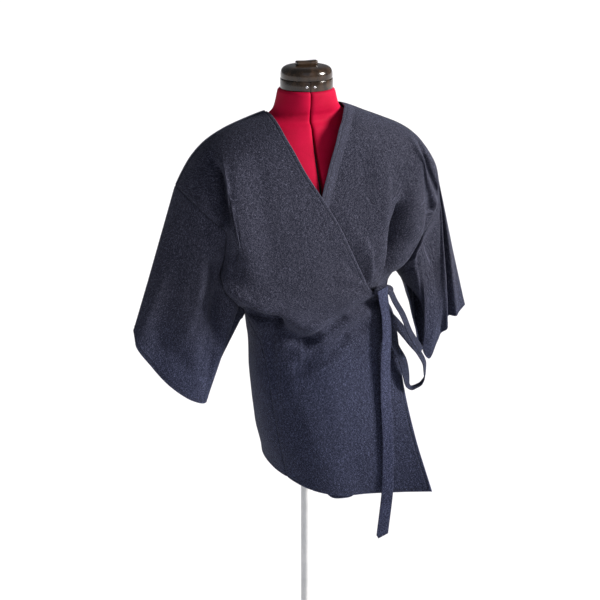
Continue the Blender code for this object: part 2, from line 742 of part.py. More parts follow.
def make_free_strap(name, rows, count, width, finish):
    along = np.linspace(0.0, 1.0, count)
    middle = np.stack([smooth(rows, column, along) for column in (1, 2, 3)], axis=-1)
    side = np.stack([smooth(rows, column, along) for column in (4, 5, 6)], axis=-1)
    return make_strap(name, middle, side, width, finish)


def make_strap(name, middle, side, width, finish):
    """A flat strap carried along its middle line, with square ends."""
    count = len(middle)
    ahead = unit(np.gradient(middle, axis=0))
    side = unit(side - ahead * np.sum(side * ahead, axis=-1, keepdims=True))
    face = np.cross(ahead, side)
    points = []
    for s, f in ((-1, -1), (1, -1), (1, 1), (-1, 1)):
        points.append(middle + side * s * width / 2 + face * f * TIE_THICK / 2)
    points = np.stack(points, axis=1).reshape(-1, 3)
    faces = skin_faces(count, 4, True, 0, False)
    faces += [(3, 2, 1, 0), tuple(range(4 * count - 4, 4 * count))]
    return add_object(name, points, faces, finish)


def make_knot(finish, count=9, sides=12):
    """The knot: a rounded wrap of the strap across the waist corner, oval in section."""
    along = np.linspace(0.0, 1.0, count)
    turn = np.arange(sides) * 2 * np.pi / sides
    x, height, tall, deep = (smooth(TIE_KNOT, column, along) for column in range(1, 5))
    y = front_depth(x, height) - deep - KNOT_CLEAR
    across = y[:, None] + deep[:, None] * np.cos(turn)
    points = np.stack([x[:, None] + 0 * turn, across, height[:, None] + tall[:, None] * np.sin(turn)], axis=-1)
    faces = skin_faces(count, sides, True, 0, False)
    faces += [tuple(range(sides - 1, -1, -1)), tuple(range((count - 1) * sides, count * sides))]
    return add_object("tie_knot", points.reshape(-1, 3), faces, finish)


def make_turned(name, profile, sides, finish, start=0.0, sweep=360.0, middle=(0.0, 0.0)):
    """A profile turned round the vertical axis, all the way or through part of a turn."""
    full = sweep >= 360.0
    turns = np.radians(start + sweep * np.arange(sides if full else sides + 1) / sides)
    count = len(turns)
    points = []
    for radius, height in profile:
        for turn in turns:
            points.append((middle[0] + radius * math.sin(turn), middle[1] - radius * math.cos(turn), height))
    rows = len(profile)
    faces = skin_faces(rows, count, full, 0, False)
    if full:
        faces += [tuple(range(count - 1, -1, -1)), tuple(range((rows - 1) * count, rows * count))]
    else:
        for j in range(count - 1):
            last = (rows - 1) * count + j
            faces.append((last, last + 1, j + 1, j))
        faces.append(tuple(i * count for i in range(rows)))
        faces.append(tuple(i * count + count - 1 for i in reversed(range(rows))))
    return add_object(name, points, faces, finish)


def form_gap(height):
    return blend(FORM_GAP_BOTTOM, FORM_GAP_TOP, ease((height - FORM_GAP_START) / (FORM_GAP_END - FORM_GAP_START)))


def make_form_half(side, finish):
    """One half of the form: half an oval at each height, closed by a flat wall beside the front gap."""
    sign = -1.0 if side == "right" else 1.0
    heights = np.array([row[0] for row in FORM])
    steps = FORM_SIDES
    turn = np.linspace(0.0, np.pi, steps)
    points = []
    for height in heights:
        middle_x, half, middle_y, deep, power, split = (smooth(FORM, c, height) for c in range(1, 7))
        wall_x = split + sign * form_gap(height) / 2
        reach = half + sign * (middle_x - wall_x)
        x = wall_x + sign * reach * np.sin(turn) ** (2 / power)
        y = middle_y - deep * np.sign(np.cos(turn)) * np.abs(np.cos(turn)) ** (2 / power)
        points.append(np.stack([x, y, height + 0 * x], axis=-1))
    points = np.concatenate(points)
    rows = len(heights)
    faces = skin_faces(rows, steps, True, 0, False)
    faces += [tuple(range(steps - 1, -1, -1)), tuple(range((rows - 1) * steps, rows * steps))]
    return add_object("form_" + side, points, faces, finish)


def make_core(finish):
    """The dark board between the form's halves, set back from its front and back."""
    points = []
    for height in [row[0] for row in FORM]:
        middle_y, deep, split = (float(smooth(FORM, column, height)) for column in (3, 4, 6))
        half = form_gap(height) / 2 - FIT_GAP
        reach = deep - CORE_SETBACK
        for x, y in ((-half, -reach), (half, -reach), (half, reach), (-half, reach)):
            points.append((split + x, middle_y + y, height))
    rows = len(FORM)
    faces = skin_faces(rows, 4, True, 0, False) + [(3, 2, 1, 0), tuple(range(4 * rows - 4, 4 * rows))]
    return add_object("form_core", points, faces, finish)


def make_box(name, low, high, finish, bevel=0.0):
    corners = [(x, y, z) for x in (low[0], high[0]) for y in (low[1], high[1]) for z in (low[2], high[2])]
    faces = [(0, 1, 3, 2), (4, 6, 7, 5), (0, 4, 5, 1), (2, 3, 7, 6), (0, 2, 6, 4), (1, 5, 7, 3)]
    item = add_object(name, corners, faces, finish)
    if bevel:
        edge = item.modifiers.new("rounded edges", "BEVEL")
        edge.width = bevel * MM
        edge.segments = 2
    return item


def make_screw(name, turn, metal):
    """A screw head on the ring's side, its profile turned round the direction that it faces."""
    out = np.array([math.sin(turn), -math.cos(turn), 0.0])
    side = np.array([math.cos(turn), math.sin(turn), 0.0])
    up = np.array([0.0, 0.0, 1.0])
    centre = out * (RING_RADIUS + FIT_GAP) + up * (RING_BASE + RING_TOP) / 2
    spin = np.arange(SCREW_SIDES) * 2 * np.pi / SCREW_SIDES
    points = []
    for radius, lift in SCREW_PROFILE:
        for angle in spin:
            points.append(centre + out * lift + (side * math.cos(angle) + up * math.sin(angle)) * radius)
    rows = len(SCREW_PROFILE)
    faces = skin_faces(rows, SCREW_SIDES, True, 0, False)
    faces.append(tuple(range(SCREW_SIDES - 1, -1, -1)))
    faces.append(tuple(range((rows - 1) * SCREW_SIDES, rows * SCREW_SIDES)))
    add_object(name, points, faces, metal)


def make_cap(plastic, metal):
    """The neck ring in two halves with its screws, the domed cap and its grip bar."""
    ring = ((RING_RADIUS - RING_WALL, RING_BASE), (RING_RADIUS, RING_BASE),
            (RING_RADIUS, RING_TOP), (RING_RADIUS - RING_WALL, RING_TOP))
    half_turn = 180.0 - 2 * RING_SLIT
    make_turned("neck_ring_left", ring, 16, plastic, RING_SPLIT + RING_SLIT, half_turn)
    make_turned("neck_ring_right", ring, 16, plastic, RING_SPLIT + 180.0 + RING_SLIT, half_turn)
    screws = (-SCREW_TURN, SCREW_TURN, 180.0 - SCREW_TURN, 180.0 + SCREW_TURN)
    for number, angle in enumerate(screws, 1):
        make_screw("ring_screw_" + str(number), math.radians(RING_SPLIT + angle), metal)
    cap = [(radius, RING_TOP + height) for radius, height in CAP_PROFILE]
    make_turned("neck_cap", cap, ROUND_SIDES, plastic)
    top = RING_TOP + CAP_PROFILE[-1][1] + FIT_GAP
    make_box("cap_grip", (-GRIP_LENGTH / 2, -GRIP_WIDTH / 2, top),
             (GRIP_LENGTH / 2, GRIP_WIDTH / 2, top + GRIP_HEIGHT), plastic, GRIP_BEVEL)


def make_stand(steel):
    """A round weighted base and a straight pole up to the form's underside."""
    make_turned("base", BASE_PROFILE, 40, steel)
    pole = ((POLE_RADIUS, BASE_HEIGHT + FIT_GAP), (POLE_RADIUS, FORM_BOTTOM - FIT_GAP))
    make_turned("pole", pole, 24, steel)


def main():
    for item in list(bpy.data.objects):
        bpy.data.objects.remove(item, do_unlink=True)
    cloth = material("indigo melange cloth", (0.045, 0.052, 0.085), 0.9)
    cover = material("red form cover", (0.36, 0.01, 0.035), 0.75)
    plastic = material("smoked black plastic", (0.02, 0.018, 0.016), 0.2)
    metal = material("bright steel", (0.6, 0.6, 0.6), 0.3, 1.0)
    steel = material("pale painted steel", (0.75, 0.75, 0.74), 0.4)
    make_front("front_right", "outer", OUTER_COLUMNS, cloth)
    make_front("front_left", "under", UNDER_COLUMNS, cloth)
    make_back(cloth)
    make_sleeve("right", cloth)
    make_sleeve("left", cloth)
    make_tail(cloth)
    make_free_strap("tie_short_tail", SHORT_TAIL, SHORT_TAIL_RINGS, SHORT_TAIL_WIDTH, cloth)
    make_free_strap("tie_loop", LOOP, LOOP_RINGS, LOOP_WIDTH, cloth)
    make_knot(cloth)
    make_form_half("right", cover)
    make_form_half("left", cover)
    make_core(plastic)
    make_cap(plastic, metal)
    make_stand(steel)


main()
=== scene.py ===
import functools
import math
import bpy
import mathutils
import numpy as np
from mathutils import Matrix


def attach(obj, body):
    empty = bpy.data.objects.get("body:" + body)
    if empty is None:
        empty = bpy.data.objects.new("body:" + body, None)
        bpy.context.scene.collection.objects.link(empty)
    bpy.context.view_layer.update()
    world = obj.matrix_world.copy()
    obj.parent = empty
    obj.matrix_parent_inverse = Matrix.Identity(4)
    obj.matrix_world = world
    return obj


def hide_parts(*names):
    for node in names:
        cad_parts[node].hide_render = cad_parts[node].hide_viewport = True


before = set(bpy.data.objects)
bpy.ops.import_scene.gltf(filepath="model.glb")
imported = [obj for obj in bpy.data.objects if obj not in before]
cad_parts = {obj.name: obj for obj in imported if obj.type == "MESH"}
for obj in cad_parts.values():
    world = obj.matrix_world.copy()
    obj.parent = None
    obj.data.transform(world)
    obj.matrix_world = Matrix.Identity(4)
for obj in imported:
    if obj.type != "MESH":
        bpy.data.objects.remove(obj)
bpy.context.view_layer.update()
mm = 0.001
level = np.array([1.0, 1.0, 0.0])  # leaves out the height


# a cubic through the rows of a table that doesn't overshoot them, for one column or for several
def smooth(rows, column, at):
    if not isinstance(column, int):
        return [smooth(rows, one, at) for one in column]
    data = np.array(rows, dtype=float)
    data = data[np.argsort(data[:, 0])]
    key, value = data[:, 0], data[:, column]
    step = np.diff(key)
    slope = np.diff(value) / step
    tangent = np.concatenate([slope[:1], slope])
    product = slope[:-1] * slope[1:]
    total = np.where(product > 0, slope[:-1] + slope[1:], 1.0)
    tangent[1:-1] = np.where(product > 0, 2 * product / total, 0.0)
    at = np.clip(np.asarray(at, dtype=float), key[0], key[-1])
    index = np.clip(np.searchsorted(key, at, side="right") - 1, 0, len(key) - 2)
    t = (at - key[index]) / step[index]
    lean = (1 - t) * tangent[index] - t * tangent[index + 1]
    return mix(value[index], value[index + 1], ease(t)) + lean * step[index] * t * (1 - t)


# an S curve from 0 to 1: three times the square less twice the cube
def ease(value):
    value = np.clip(value, 0.0, 1.0)
    return value * value * (3 - 2 * value)


# a bell of height 1 round 0
def bell(value, width):
    return np.exp(-((value / width) ** 2))


# a power that keeps the sign
def signedPower(value, power):
    return np.sign(value) * np.abs(value) ** power


# straight from start to end
def mix(start, end, share):
    return start + (end - start) * share


# vectors divided by their own length
def unit(vector):
    return vector / np.maximum(np.linalg.norm(vector, axis=-1, keepdims=True), 1e-9)


# a sum of bells across bent lines, each fading past its line's ends
def foldLift(rows, x, height, spread=1.0):
    lift = np.zeros_like(x)
    for x0, z0, x1, z1, tall, width, bend in rows:
        length = math.hypot(x1 - x0, z1 - z0)
        along = ((x - x0) * (x1 - x0) + (height - z0) * (z1 - z0)) / length**2
        across = ((x - x0) * (z1 - z0) - (height - z0) * (x1 - x0)) / length
        across = across - bend * 4 * along * (1 - along)
        past = np.maximum(np.abs(along - 0.5) - 0.5, 0.0) * length
        width = width * spread if tall < 0 else width
        lift += tall * np.exp(-((across / width) ** 2) - (past / (1.5 * width)) ** 2)
    return lift


# a gentle unevenness: six plane waves of uneven length and direction, bent by one another
def uneven(x, z, seed, size):
    turns = np.array([0.3, 1.1, 1.9, 2.5, 0.8, 2.9]) + seed
    lengths = np.array([210.0, 150.0, 118.0, 92.0, 71.0, 57.0])
    total = np.zeros_like(x)
    for k in range(6):
        along = x * math.cos(turns[k]) + z * math.sin(turns[k])
        across = -x * math.sin(turns[k]) + z * math.cos(turns[k])
        wave = np.sin(
            2 * math.pi * along / lengths[k] + 1.3 * np.sin(2 * math.pi * across / 230 + k) + 2.1 * k + seed)
        total += wave * lengths[k] / 210
    return size * total / 2.4


# an sRGB hex colour turned to linear light
def linear(hexText):
    value = np.array([int(hexText[k:k + 2], 16) / 255 for k in (1, 3, 5)])
    value = np.where(value <= 0.04045, value / 12.92, ((value + 0.055) / 1.055) ** 2.4)
    return (float(value[0]), float(value[1]), float(value[2]), 1.0)


# the directions out of a grid: rows crossed with columns
def gridNormals(points, closed=False):
    turn = np.roll(points, -1, axis=1) - np.roll(points, 1, axis=1) if closed else np.gradient(points, axis=1)
    return unit(np.cross(turn, np.gradient(points, axis=0)))


# corner numbers of a grid's quads
def quads(rows, columns, flip):
    a = np.arange(rows * columns).reshape(rows, columns)[:-1, :-1].ravel()
    faces = np.stack([a, a + 1, a + 1 + columns, a + columns], axis=1)
    return faces[:, ::-1] if flip else faces


# puts a mesh, a lamp or the camera into the scene
def place(name, data):
    item = bpy.data.objects.new(name, data)
    bpy.context.scene.collection.objects.link(item)
    return item


# a mesh from point and quad arrays, in millimetres, with its own flat coordinates and edge distances
def buildMesh(name, points, faces, material, flat=None, values=None, sharp=45.0):
    mesh = bpy.data.meshes.new(name)
    places = (np.asarray(points, dtype=np.float32) * mm).ravel()
    mesh.vertices.add(len(places) // 3)
    mesh.vertices.foreach_set("co", places)
    mesh.loops.add(faces.size)
    mesh.loops.foreach_set("vertex_index", faces.astype(np.int32).ravel())
    mesh.polygons.add(len(faces))
    mesh.polygons.foreach_set("loop_start", np.arange(len(faces), dtype=np.int32) * faces.shape[1])
    mesh.polygons.foreach_set("loop_total", np.full(len(faces), faces.shape[1], dtype=np.int32))
    mesh.update(calc_edges=True)
    if flat is not None:
        layer = mesh.uv_layers.new(name="flatCloth")
        layer.data.foreach_set("uv", (flat[faces.ravel()] * mm * 10).astype(np.float32).ravel())
    for key, data in (values or {}).items():
        attribute = mesh.attributes.new(key, "FLOAT", "POINT")
        attribute.data.foreach_set("value", data.astype(np.float32))
    mesh.materials.append(material)
    mesh.shade_smooth()
    mesh.set_sharp_from_angle(angle=math.radians(sharp))
    mesh.validate()
    return place(name, mesh)


# how far each point of a grid is from each of its sides, along its rows or columns
def sideDistances(points):
    runs = []
    for axis in (1, 0):
        step = np.linalg.norm(np.diff(points, axis=axis), axis=-1)
        runs.append(np.insert(np.cumsum(step, axis=axis), 0, 0.0, axis=axis))
    across, down = runs
    return dict(first=across, last=across[:, -1:] - across, top=down, bottom=down[-1:] - down)


# a line of the grid at a fixed distance from its first side or its bottom, with its outward directions:
# straight between the two columns or rows that lie round it
def insetLine(points, normals, which, distance):
    field = sideDistances(points)[which]
    if which == "bottom":
        points, normals, field = (data.swapaxes(0, 1)[:, ::-1] for data in (points, normals, field))
    index = np.clip((field < distance).sum(axis=1), 1, field.shape[1] - 1)
    rows = np.arange(len(field))
    low, high = field[rows, index - 1], field[rows, index]
    share = np.clip((distance - low) / np.maximum(high - low, 1e-6), 0, 1)[:, None]
    return [mix(data[rows, index - 1], data[rows, index], share) for data in (points, normals)]


# a piece carried by the one body, in the place of its solid
def finish(item, node):
    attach(item, "root")
    if node:
        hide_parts(node)
    print(item.name, "made of", len(item.data.polygons), "faces")


# a piece from one grid of points, flipped where its rows and columns would face it inwards
def makeSurface(name, points, material, node, flip=False, lay=None, values=None, sharp=45.0):
    faces = quads(*points.shape[:2], flip)
    finish(buildMesh(name, points, faces, material, lay, values, sharp), node)


# a tube closed by its first and last rings again, drawn together in their middle
def closeEnds(points):
    low, high = (np.repeat(points[row].mean(axis=0)[None], points.shape[1], axis=0)[None] for row in (0, -1))
    return np.concatenate([low, points, high])


# fills or links a node's inputs, by place or by name
def fillInputs(node, inputs):
    for key, value in inputs.items() if isinstance(inputs, dict) else enumerate(inputs):
        if isinstance(value, bpy.types.NodeSocket):
            node.id_data.links.new(value, node.inputs[key])
        else:
            node.inputs[key].default_value = value


# adds one node with its plain settings and its inputs, and gives its outputs
def addNode(tree, kind, *inputs, **settings):
    node = tree.nodes.new("ShaderNode" + kind)
    for key, value in settings.items():
        setattr(node, key, value)
    fillInputs(node, inputs[0] if inputs and isinstance(inputs[0], dict) else inputs)
    return node.outputs


# a material, its way to add nodes, and its shader
def newMaterial(name):
    material = bpy.data.materials.new(name)
    material.use_nodes = True
    tree = material.node_tree
    return material, functools.partial(addNode, tree), tree.nodes["Principled BSDF"]


# steps of the noise in a millimetre, across and down, and its seed; the real yarns are finer, and these are
# as coarse as the render needs to show them
weave = dict(weft=(0.26, 1.5, 3.1), warp=(1.5, 0.24, 8.7), speck=(1.4, 1.4, 5.2), rumple=(0.09, 0.07, 12.0),
             threads=7.0, speckShare=1.5, pick=(1.75, 2.4), perUnit=100.0)
# where the stitch line lies, and where it, a seam, a worn edge and the painted bluer light on the lower cloth
# begin and are full, in metres
marks = dict(stitchIn=0.0075, stitch=(0.0015, 0.0003), seam=(0.0024, 0.0002), worn=(0.0016, 0.0),
             paintedBlueLight=(1.02, 0.80))


# melange wool and cotton cloth, woven of dark and pale yarns and worn matt: slubs along both ways, a soft
# nap, a stitched line beside each finished edge, painted shade along the stitched lines, the seams and the
# inside, and painted bluer light on the lower cloth
def clothMaterial(name, dark, pale, blueLitDark, blueLitPale):
    material, add, shader = newMaterial(name)
    flat = add("UVMap", uv_map="flatCloth")[0]
    scale = weave["perUnit"]
    yarns = []
    for key in ("weft", "warp", "speck", "rumple"):
        across, down, seed = weave[key]
        spot = add("VectorMath", flat, (scale * across, scale * down, 1), (0, 0, seed),
                   operation="MULTIPLY_ADD")[0]
        yarns.append(add("TexNoise", {"Vector": spot, "Scale": 1.0, "Detail": 1.0})["Fac"])
    weft, warp, speck, rumple = yarns
    total = add("Math", weft, warp, operation="ADD")[0]
    total = add("Math", speck, weave["speckShare"], total, operation="MULTIPLY_ADD")[0]
    edge, seam, inside, facing = (add("Attribute", attribute_name=key)["Fac"]
                                  for key in ("edgeDistance", "seamDistance", "inside", "facing"))
    away = add("Math", edge, marks["stitchIn"], operation="SUBTRACT")[0]
    away = add("Math", away, operation="ABSOLUTE")[0]
    height = add("SeparateXYZ", add("TexCoord")["Object"])[2]
    pick, line, seam, worn, low = (
        add("MapRange", value, *limits, interpolation_type="SMOOTHSTEP")[0] for value, limits in (
            (total, weave["pick"]), (away, marks["stitch"]), (seam, marks["seam"]), (edge, marks["worn"]),
            (height, marks["paintedBlueLight"])))
    # painted bluer light: lower down the body the yarns change to their bluer, cooler-lit colours
    deep, light = (add("Mix", {0: low, 6: linear(high), 7: linear(below)}, data_type="RGBA")[2]
                   for high, below in ((dark, blueLitDark), (pale, blueLitPale)))
    # painted shade: darker along the sunk stitched lines and seams, and on the inside faces
    stitched, seam, inside, facing, worn = (
        add("Math", part, amount, operation="MULTIPLY")[0]
        for part, amount in ((line, 0.45), (seam, 0.5), (inside, 0.3), (facing, 0.1), (worn, 0.35)))
    shade = add("Math", stitched, seam, operation="MAXIMUM")[0]
    shade = add("Math", shade, inside, operation="MAXIMUM")[0]
    tone = deep
    for share, colour in ((pick, light), (facing, light), (shade, linear("#0b0d16")), (worn, light)):
        tone = add("Mix", {0: share, 6: tone, 7: colour}, data_type="RGBA")[2]

    relief, threads = 0.0, 1.0
    for along in add("SeparateXYZ", flat)[:2]:
        wave = add("Math", along, scale * weave["threads"], operation="MULTIPLY")[0]
        wave = add("Math", wave, operation="SINE")[0]
        threads = add("Math", wave, threads, operation="MULTIPLY")[0]
    for part, amount in ((threads, 0.1), (weft, 0.55), (warp, 0.45), (rumple, 2.2), (line, -0.8)):
        relief = add("Math", part, amount, relief, operation="MULTIPLY_ADD")[0]
    fillInputs(shader, {
        "Base Color": tone, "Roughness": 0.88, "Specular IOR Level": 0.25, "Sheen Weight": 0.08,
        "Sheen Roughness": 0.45, "Sheen Tint": linear("#8c94b4"),
        "Normal": add("Bump", {"Strength": 0.75, "Distance": 0.0007, "Height": relief})[0]})
    return material


# knitted stretch cover, dyed: fine ribs 1.5 mm apart, a little cloudiness and hardly any nap
def coverMaterial(name, deep, bright):
    material, add, shader = newMaterial(name)
    where = add("TexCoord")["Object"]
    fine, cloud = (add("TexNoise", {"Vector": where, "Scale": scale, "Detail": detail})["Fac"]
                   for scale, detail in ((900.0, 2.0), (14.0, 3.0)))
    share = add("Math", fine, 0.5, cloud, operation="MULTIPLY_ADD")[0]
    share = add("MapRange", share, 0.45, 1.0, interpolation_type="SMOOTHSTEP")[0]
    tone = add("Mix", {0: share, 6: linear(deep), 7: linear(bright)}, data_type="RGBA")[2]
    ribs = add("Math", add("SeparateXYZ", where)[0], 4200.0, operation="MULTIPLY")[0]
    ribs = add("Math", ribs, operation="SINE")[0]
    relief = add("Math", ribs, 0.15, fine, operation="MULTIPLY_ADD")[0]
    fillInputs(shader, {
        "Base Color": tone, "Roughness": 0.72, "Specular IOR Level": 0.1, "Sheen Weight": 0.02,
        "Sheen Roughness": 0.4, "Sheen Tint": linear("#ff5a80"),
        "Normal": add("Bump", {"Strength": 0.5, "Distance": 0.0004, "Height": relief})[0]})
    return material


# hard surfaces: two near colours clouded together, and a roughness that varies with them
def hardMaterial(name, deep, pale, roughness, spread, metallic=0.0, coat=0.0, scale=40.0):
    material, add, shader = newMaterial(name)
    where = add("TexCoord")["Object"]
    cloud, grain = (add("TexNoise", {"Vector": where, "Scale": size, "Detail": detail})["Fac"]
                    for size, detail in ((scale, 4.0), (1600.0, 2.0)))
    share = add("MapRange", cloud, 0.35, 0.7, interpolation_type="SMOOTHSTEP")[0]
    tone = add("Mix", {0: share, 6: linear(deep), 7: linear(pale)}, data_type="RGBA")[2]
    rough = add("MapRange", {"Value": cloud, "To Min": roughness, "To Max": roughness + spread})[0]
    fillInputs(shader, {
        "Base Color": tone, "Metallic": metallic, "Roughness": rough,
        "Coat Weight": coat, "Coat Roughness": 0.06,
        "Normal": add("Bump", {"Strength": 0.15, "Distance": 0.0002, "Height": grain})[0]})
    return material


# the last two colours are the yarns under the painted bluer light low on the jacket
melange = clothMaterial("indigoMelange", "#0e101f", "#6b6d82", "#0c1023", "#656d90")
# a paler copy of the melange: painted light on the lit long tail
tieMelangePaintedLight = clothMaterial("tieMelangePaintedLight", "#10142a", "#737ba0", "#10142a", "#737ba0")
bowMelangePaintedShade = clothMaterial("bowMelangePaintedShade", "#0c0f1e", "#545a78", "#0a0e1e", "#4e5676")  # a darker copy of the melange: painted shade on the loop and short tail
# spun polyester, dull
threadMaterial = hardMaterial("sewingThread", "#2b3048", "#454b66", 0.7, 0.15, scale=900.0)
cover = coverMaterial("redStretchCover", "#940026", "#b00434")
# moulded, polished, brown-black
smoked = hardMaterial("smokedPlastic", "#1c140d", "#3b2d21", 0.14, 0.08, scale=60.0)
dull = hardMaterial("dullBlackBoard", "#0c0c0d", "#161617", 0.7, 0.2)  # bare board, all but black in the gap
bright = hardMaterial("brightScrew", "#b9b9bc", "#dcdcde", 0.18, 0.12, 1.0, scale=300.0)  # plated steel
# sprayed enamel
paint = hardMaterial("paleStandPaint", "#c4c6c6", "#d4d5d4", 0.34, 0.14, coat=0.15, scale=25.0)
print("materials made")

# the jacket's sizes, in millimetres and degrees, in the same frame as the solids
cloth = dict(thick=1.5, hemThick=2.6, hemWidth=15.0, seamGap=0.25, underGap=7.0, insetFade=24.0, stitchIn=7.5,
             stitchSink=0.55, seamSink=1.1, edgeRound=0.9, facingWidth=23.0, facingLift=0.4, tuck=2.4)
body = dict(ridgeY=5.0, shoulderRound=85.0, neckRight=84.0, neckLeft=80.0, backNeckDip=36.0, hemBackDip=-18.0,
            hemFrontDip=16.0, droop=50.0, droopX=24.0, droopWidth=46.0)
armpit = dict(right=935.0, left=1000.0)
sideColumn = dict(right=1, left=2)  # where the tables below keep each side

# distance from the middle, right height, left height of the shoulder lines
ridge = ((0, 1376, 1380), (84, 1357, 1363), (130, 1343, 1345), (170, 1328, 1329), (209, 1307, 1312),
    (240, 1279, 1292), (262, 1248, 1268), (280, 1217, 1243), (294, 1190, 1219))

# height, right x, left x, side y, front y, back y, power of the oval at that height
rings = ((1380, -292, 308, 5, -96, 88, 2.4), (1217, -292, 308, 5, -108, 96, 2.4),
    (1168, -282, 300, 3, -122, 104, 2.5), (1120, -262, 286, 0, -130, 108, 2.6),
    (1040, -220, 230, -5, -134, 106, 2.6), (1000, -208, 195, -8, -136, 103, 2.5),
    (975, -188, 181, -9, -137, 101, 2.4), (935, -142, 176, -10, -138, 98, 2.2),
    (860, -131, 178, -12, -138, 102, 2.2), (780, -128, 187, -14, -146, 112, 2.2),
    (680, -116, 196, -14, -160, 118, 2.2), (560, -95, 202, -12, -176, 124, 2.2))

# height, right x, left x of the armhole seams
armholes = ((1219, -281, 294), (1217, -280, 293), (1168, -238, 288), (1130, -202, 274), (1090, -202, 236),
    (1040, -206, 212), (1000, -198, 195), (975, -178, 184), (935, -142, 176))

# height, right angle, left angle of the side seams
sideSeams = ((1000, -90, 90), (935, -90, 91), (880, -70, 92), (780, -62, 94), (560, -60, 95))

# height, x of the outer front's free edge
outerEdge = ((1357, -84), (1320, -74), (1289, -60), (1250, -40), (1204, -12), (1140, 24), (1075, 54),
    (1020, 80), (994, 94), (980, 112), (962, 140), (930, 158), (860, 171), (780, 180), (680, 191),
    (560, 209))

# height, how far the loose flap reaches sideways, and forward at its edge
flap = ((1357, 0, 0), (994, 0, 0), (962, 8, 0), (930, 24, 0), (860, 44, 0), (780, 55, 6), (680, 62, 42),
    (560, 66, 84))

# height, x of the under front's free edge
underEdge = ((1364, 80), (1358, 66), (1346, 54), (1326, 40), (1296, 29), (1262, 17), (1230, 7), (1198, -4),
    (1140, -28), (1060, -62), (985, -82), (860, -88), (700, -88), (556, -80))

# share down, height on the free edge, height on the seam
outerRows = ((0, 1357, 1217), (0.25, 1190, 1100), (0.5, 994, 935), (0.75, 800, 772), (1, 560, 580))
underRows = ((0, 1364, 1219), (0.25, 1190, 1110), (0.5, 994, 1000), (0.75, 790, 790), (1, 592, 588))

# height, how far in front of an arm the right and left armhole seams are drawn back
seamSink = ((1219, 0, 0), (1190, 2, 8), (1170, 4, 9), (1130, 12, 3), (1090, 18, 3), (1040, 16, 2),
    (1000, 10, 0), (935, 0, 0))

# the main folds, as in the solids: start x, start height, end x, end height, lift, width, bend
folds = dict(
    outer=((-204, 1026, -44, 934, 22, 20, 10), (-190, 986, -112, 944, -26, 16, 5),
        (-98, 934, -56, 894, -15, 15, 4), (-40, 902, 112, 964, -11, 12, -16),
        (-15, 934, 104, 988, 8, 14, -8), (-55, 845, 66, 915, -8, 16, -8), (-112, 950, -110, 790, -7, 11, 0),
        (66, 1090, 98, 1005, 6, 12, 0), (20, 800, 60, 600, 6, 40, 0), (-226, 1290, -202, 1100, -24, 14, 4),
        (-176, 1250, -158, 1060, 12, 24, 0)),
    under=((82, 1090, 106, 1000, 6, 11, 0), (176, 1150, 160, 1060, -24, 13, 3),
        (168, 1110, 158, 1000, -22, 22, 0), (214, 1230, 212, 1090, 13, 20, 0),
        (124, 1230, 118, 1080, 8, 26, 0)),
    rightSleeve=((-226, 1060, -208, 900, -12, 14, 6), (-250, 1130, -256, 860, 3, 18, 4),
        (-300, 1110, -330, 900, -7, 24, 0)),
    leftSleeve=((276, 1225, 317, 820, 19, 13, 8), (299, 1210, 339, 830, -28, 12, 8),
        (214, 1016, 262, 1008, -9, 14, 0)))

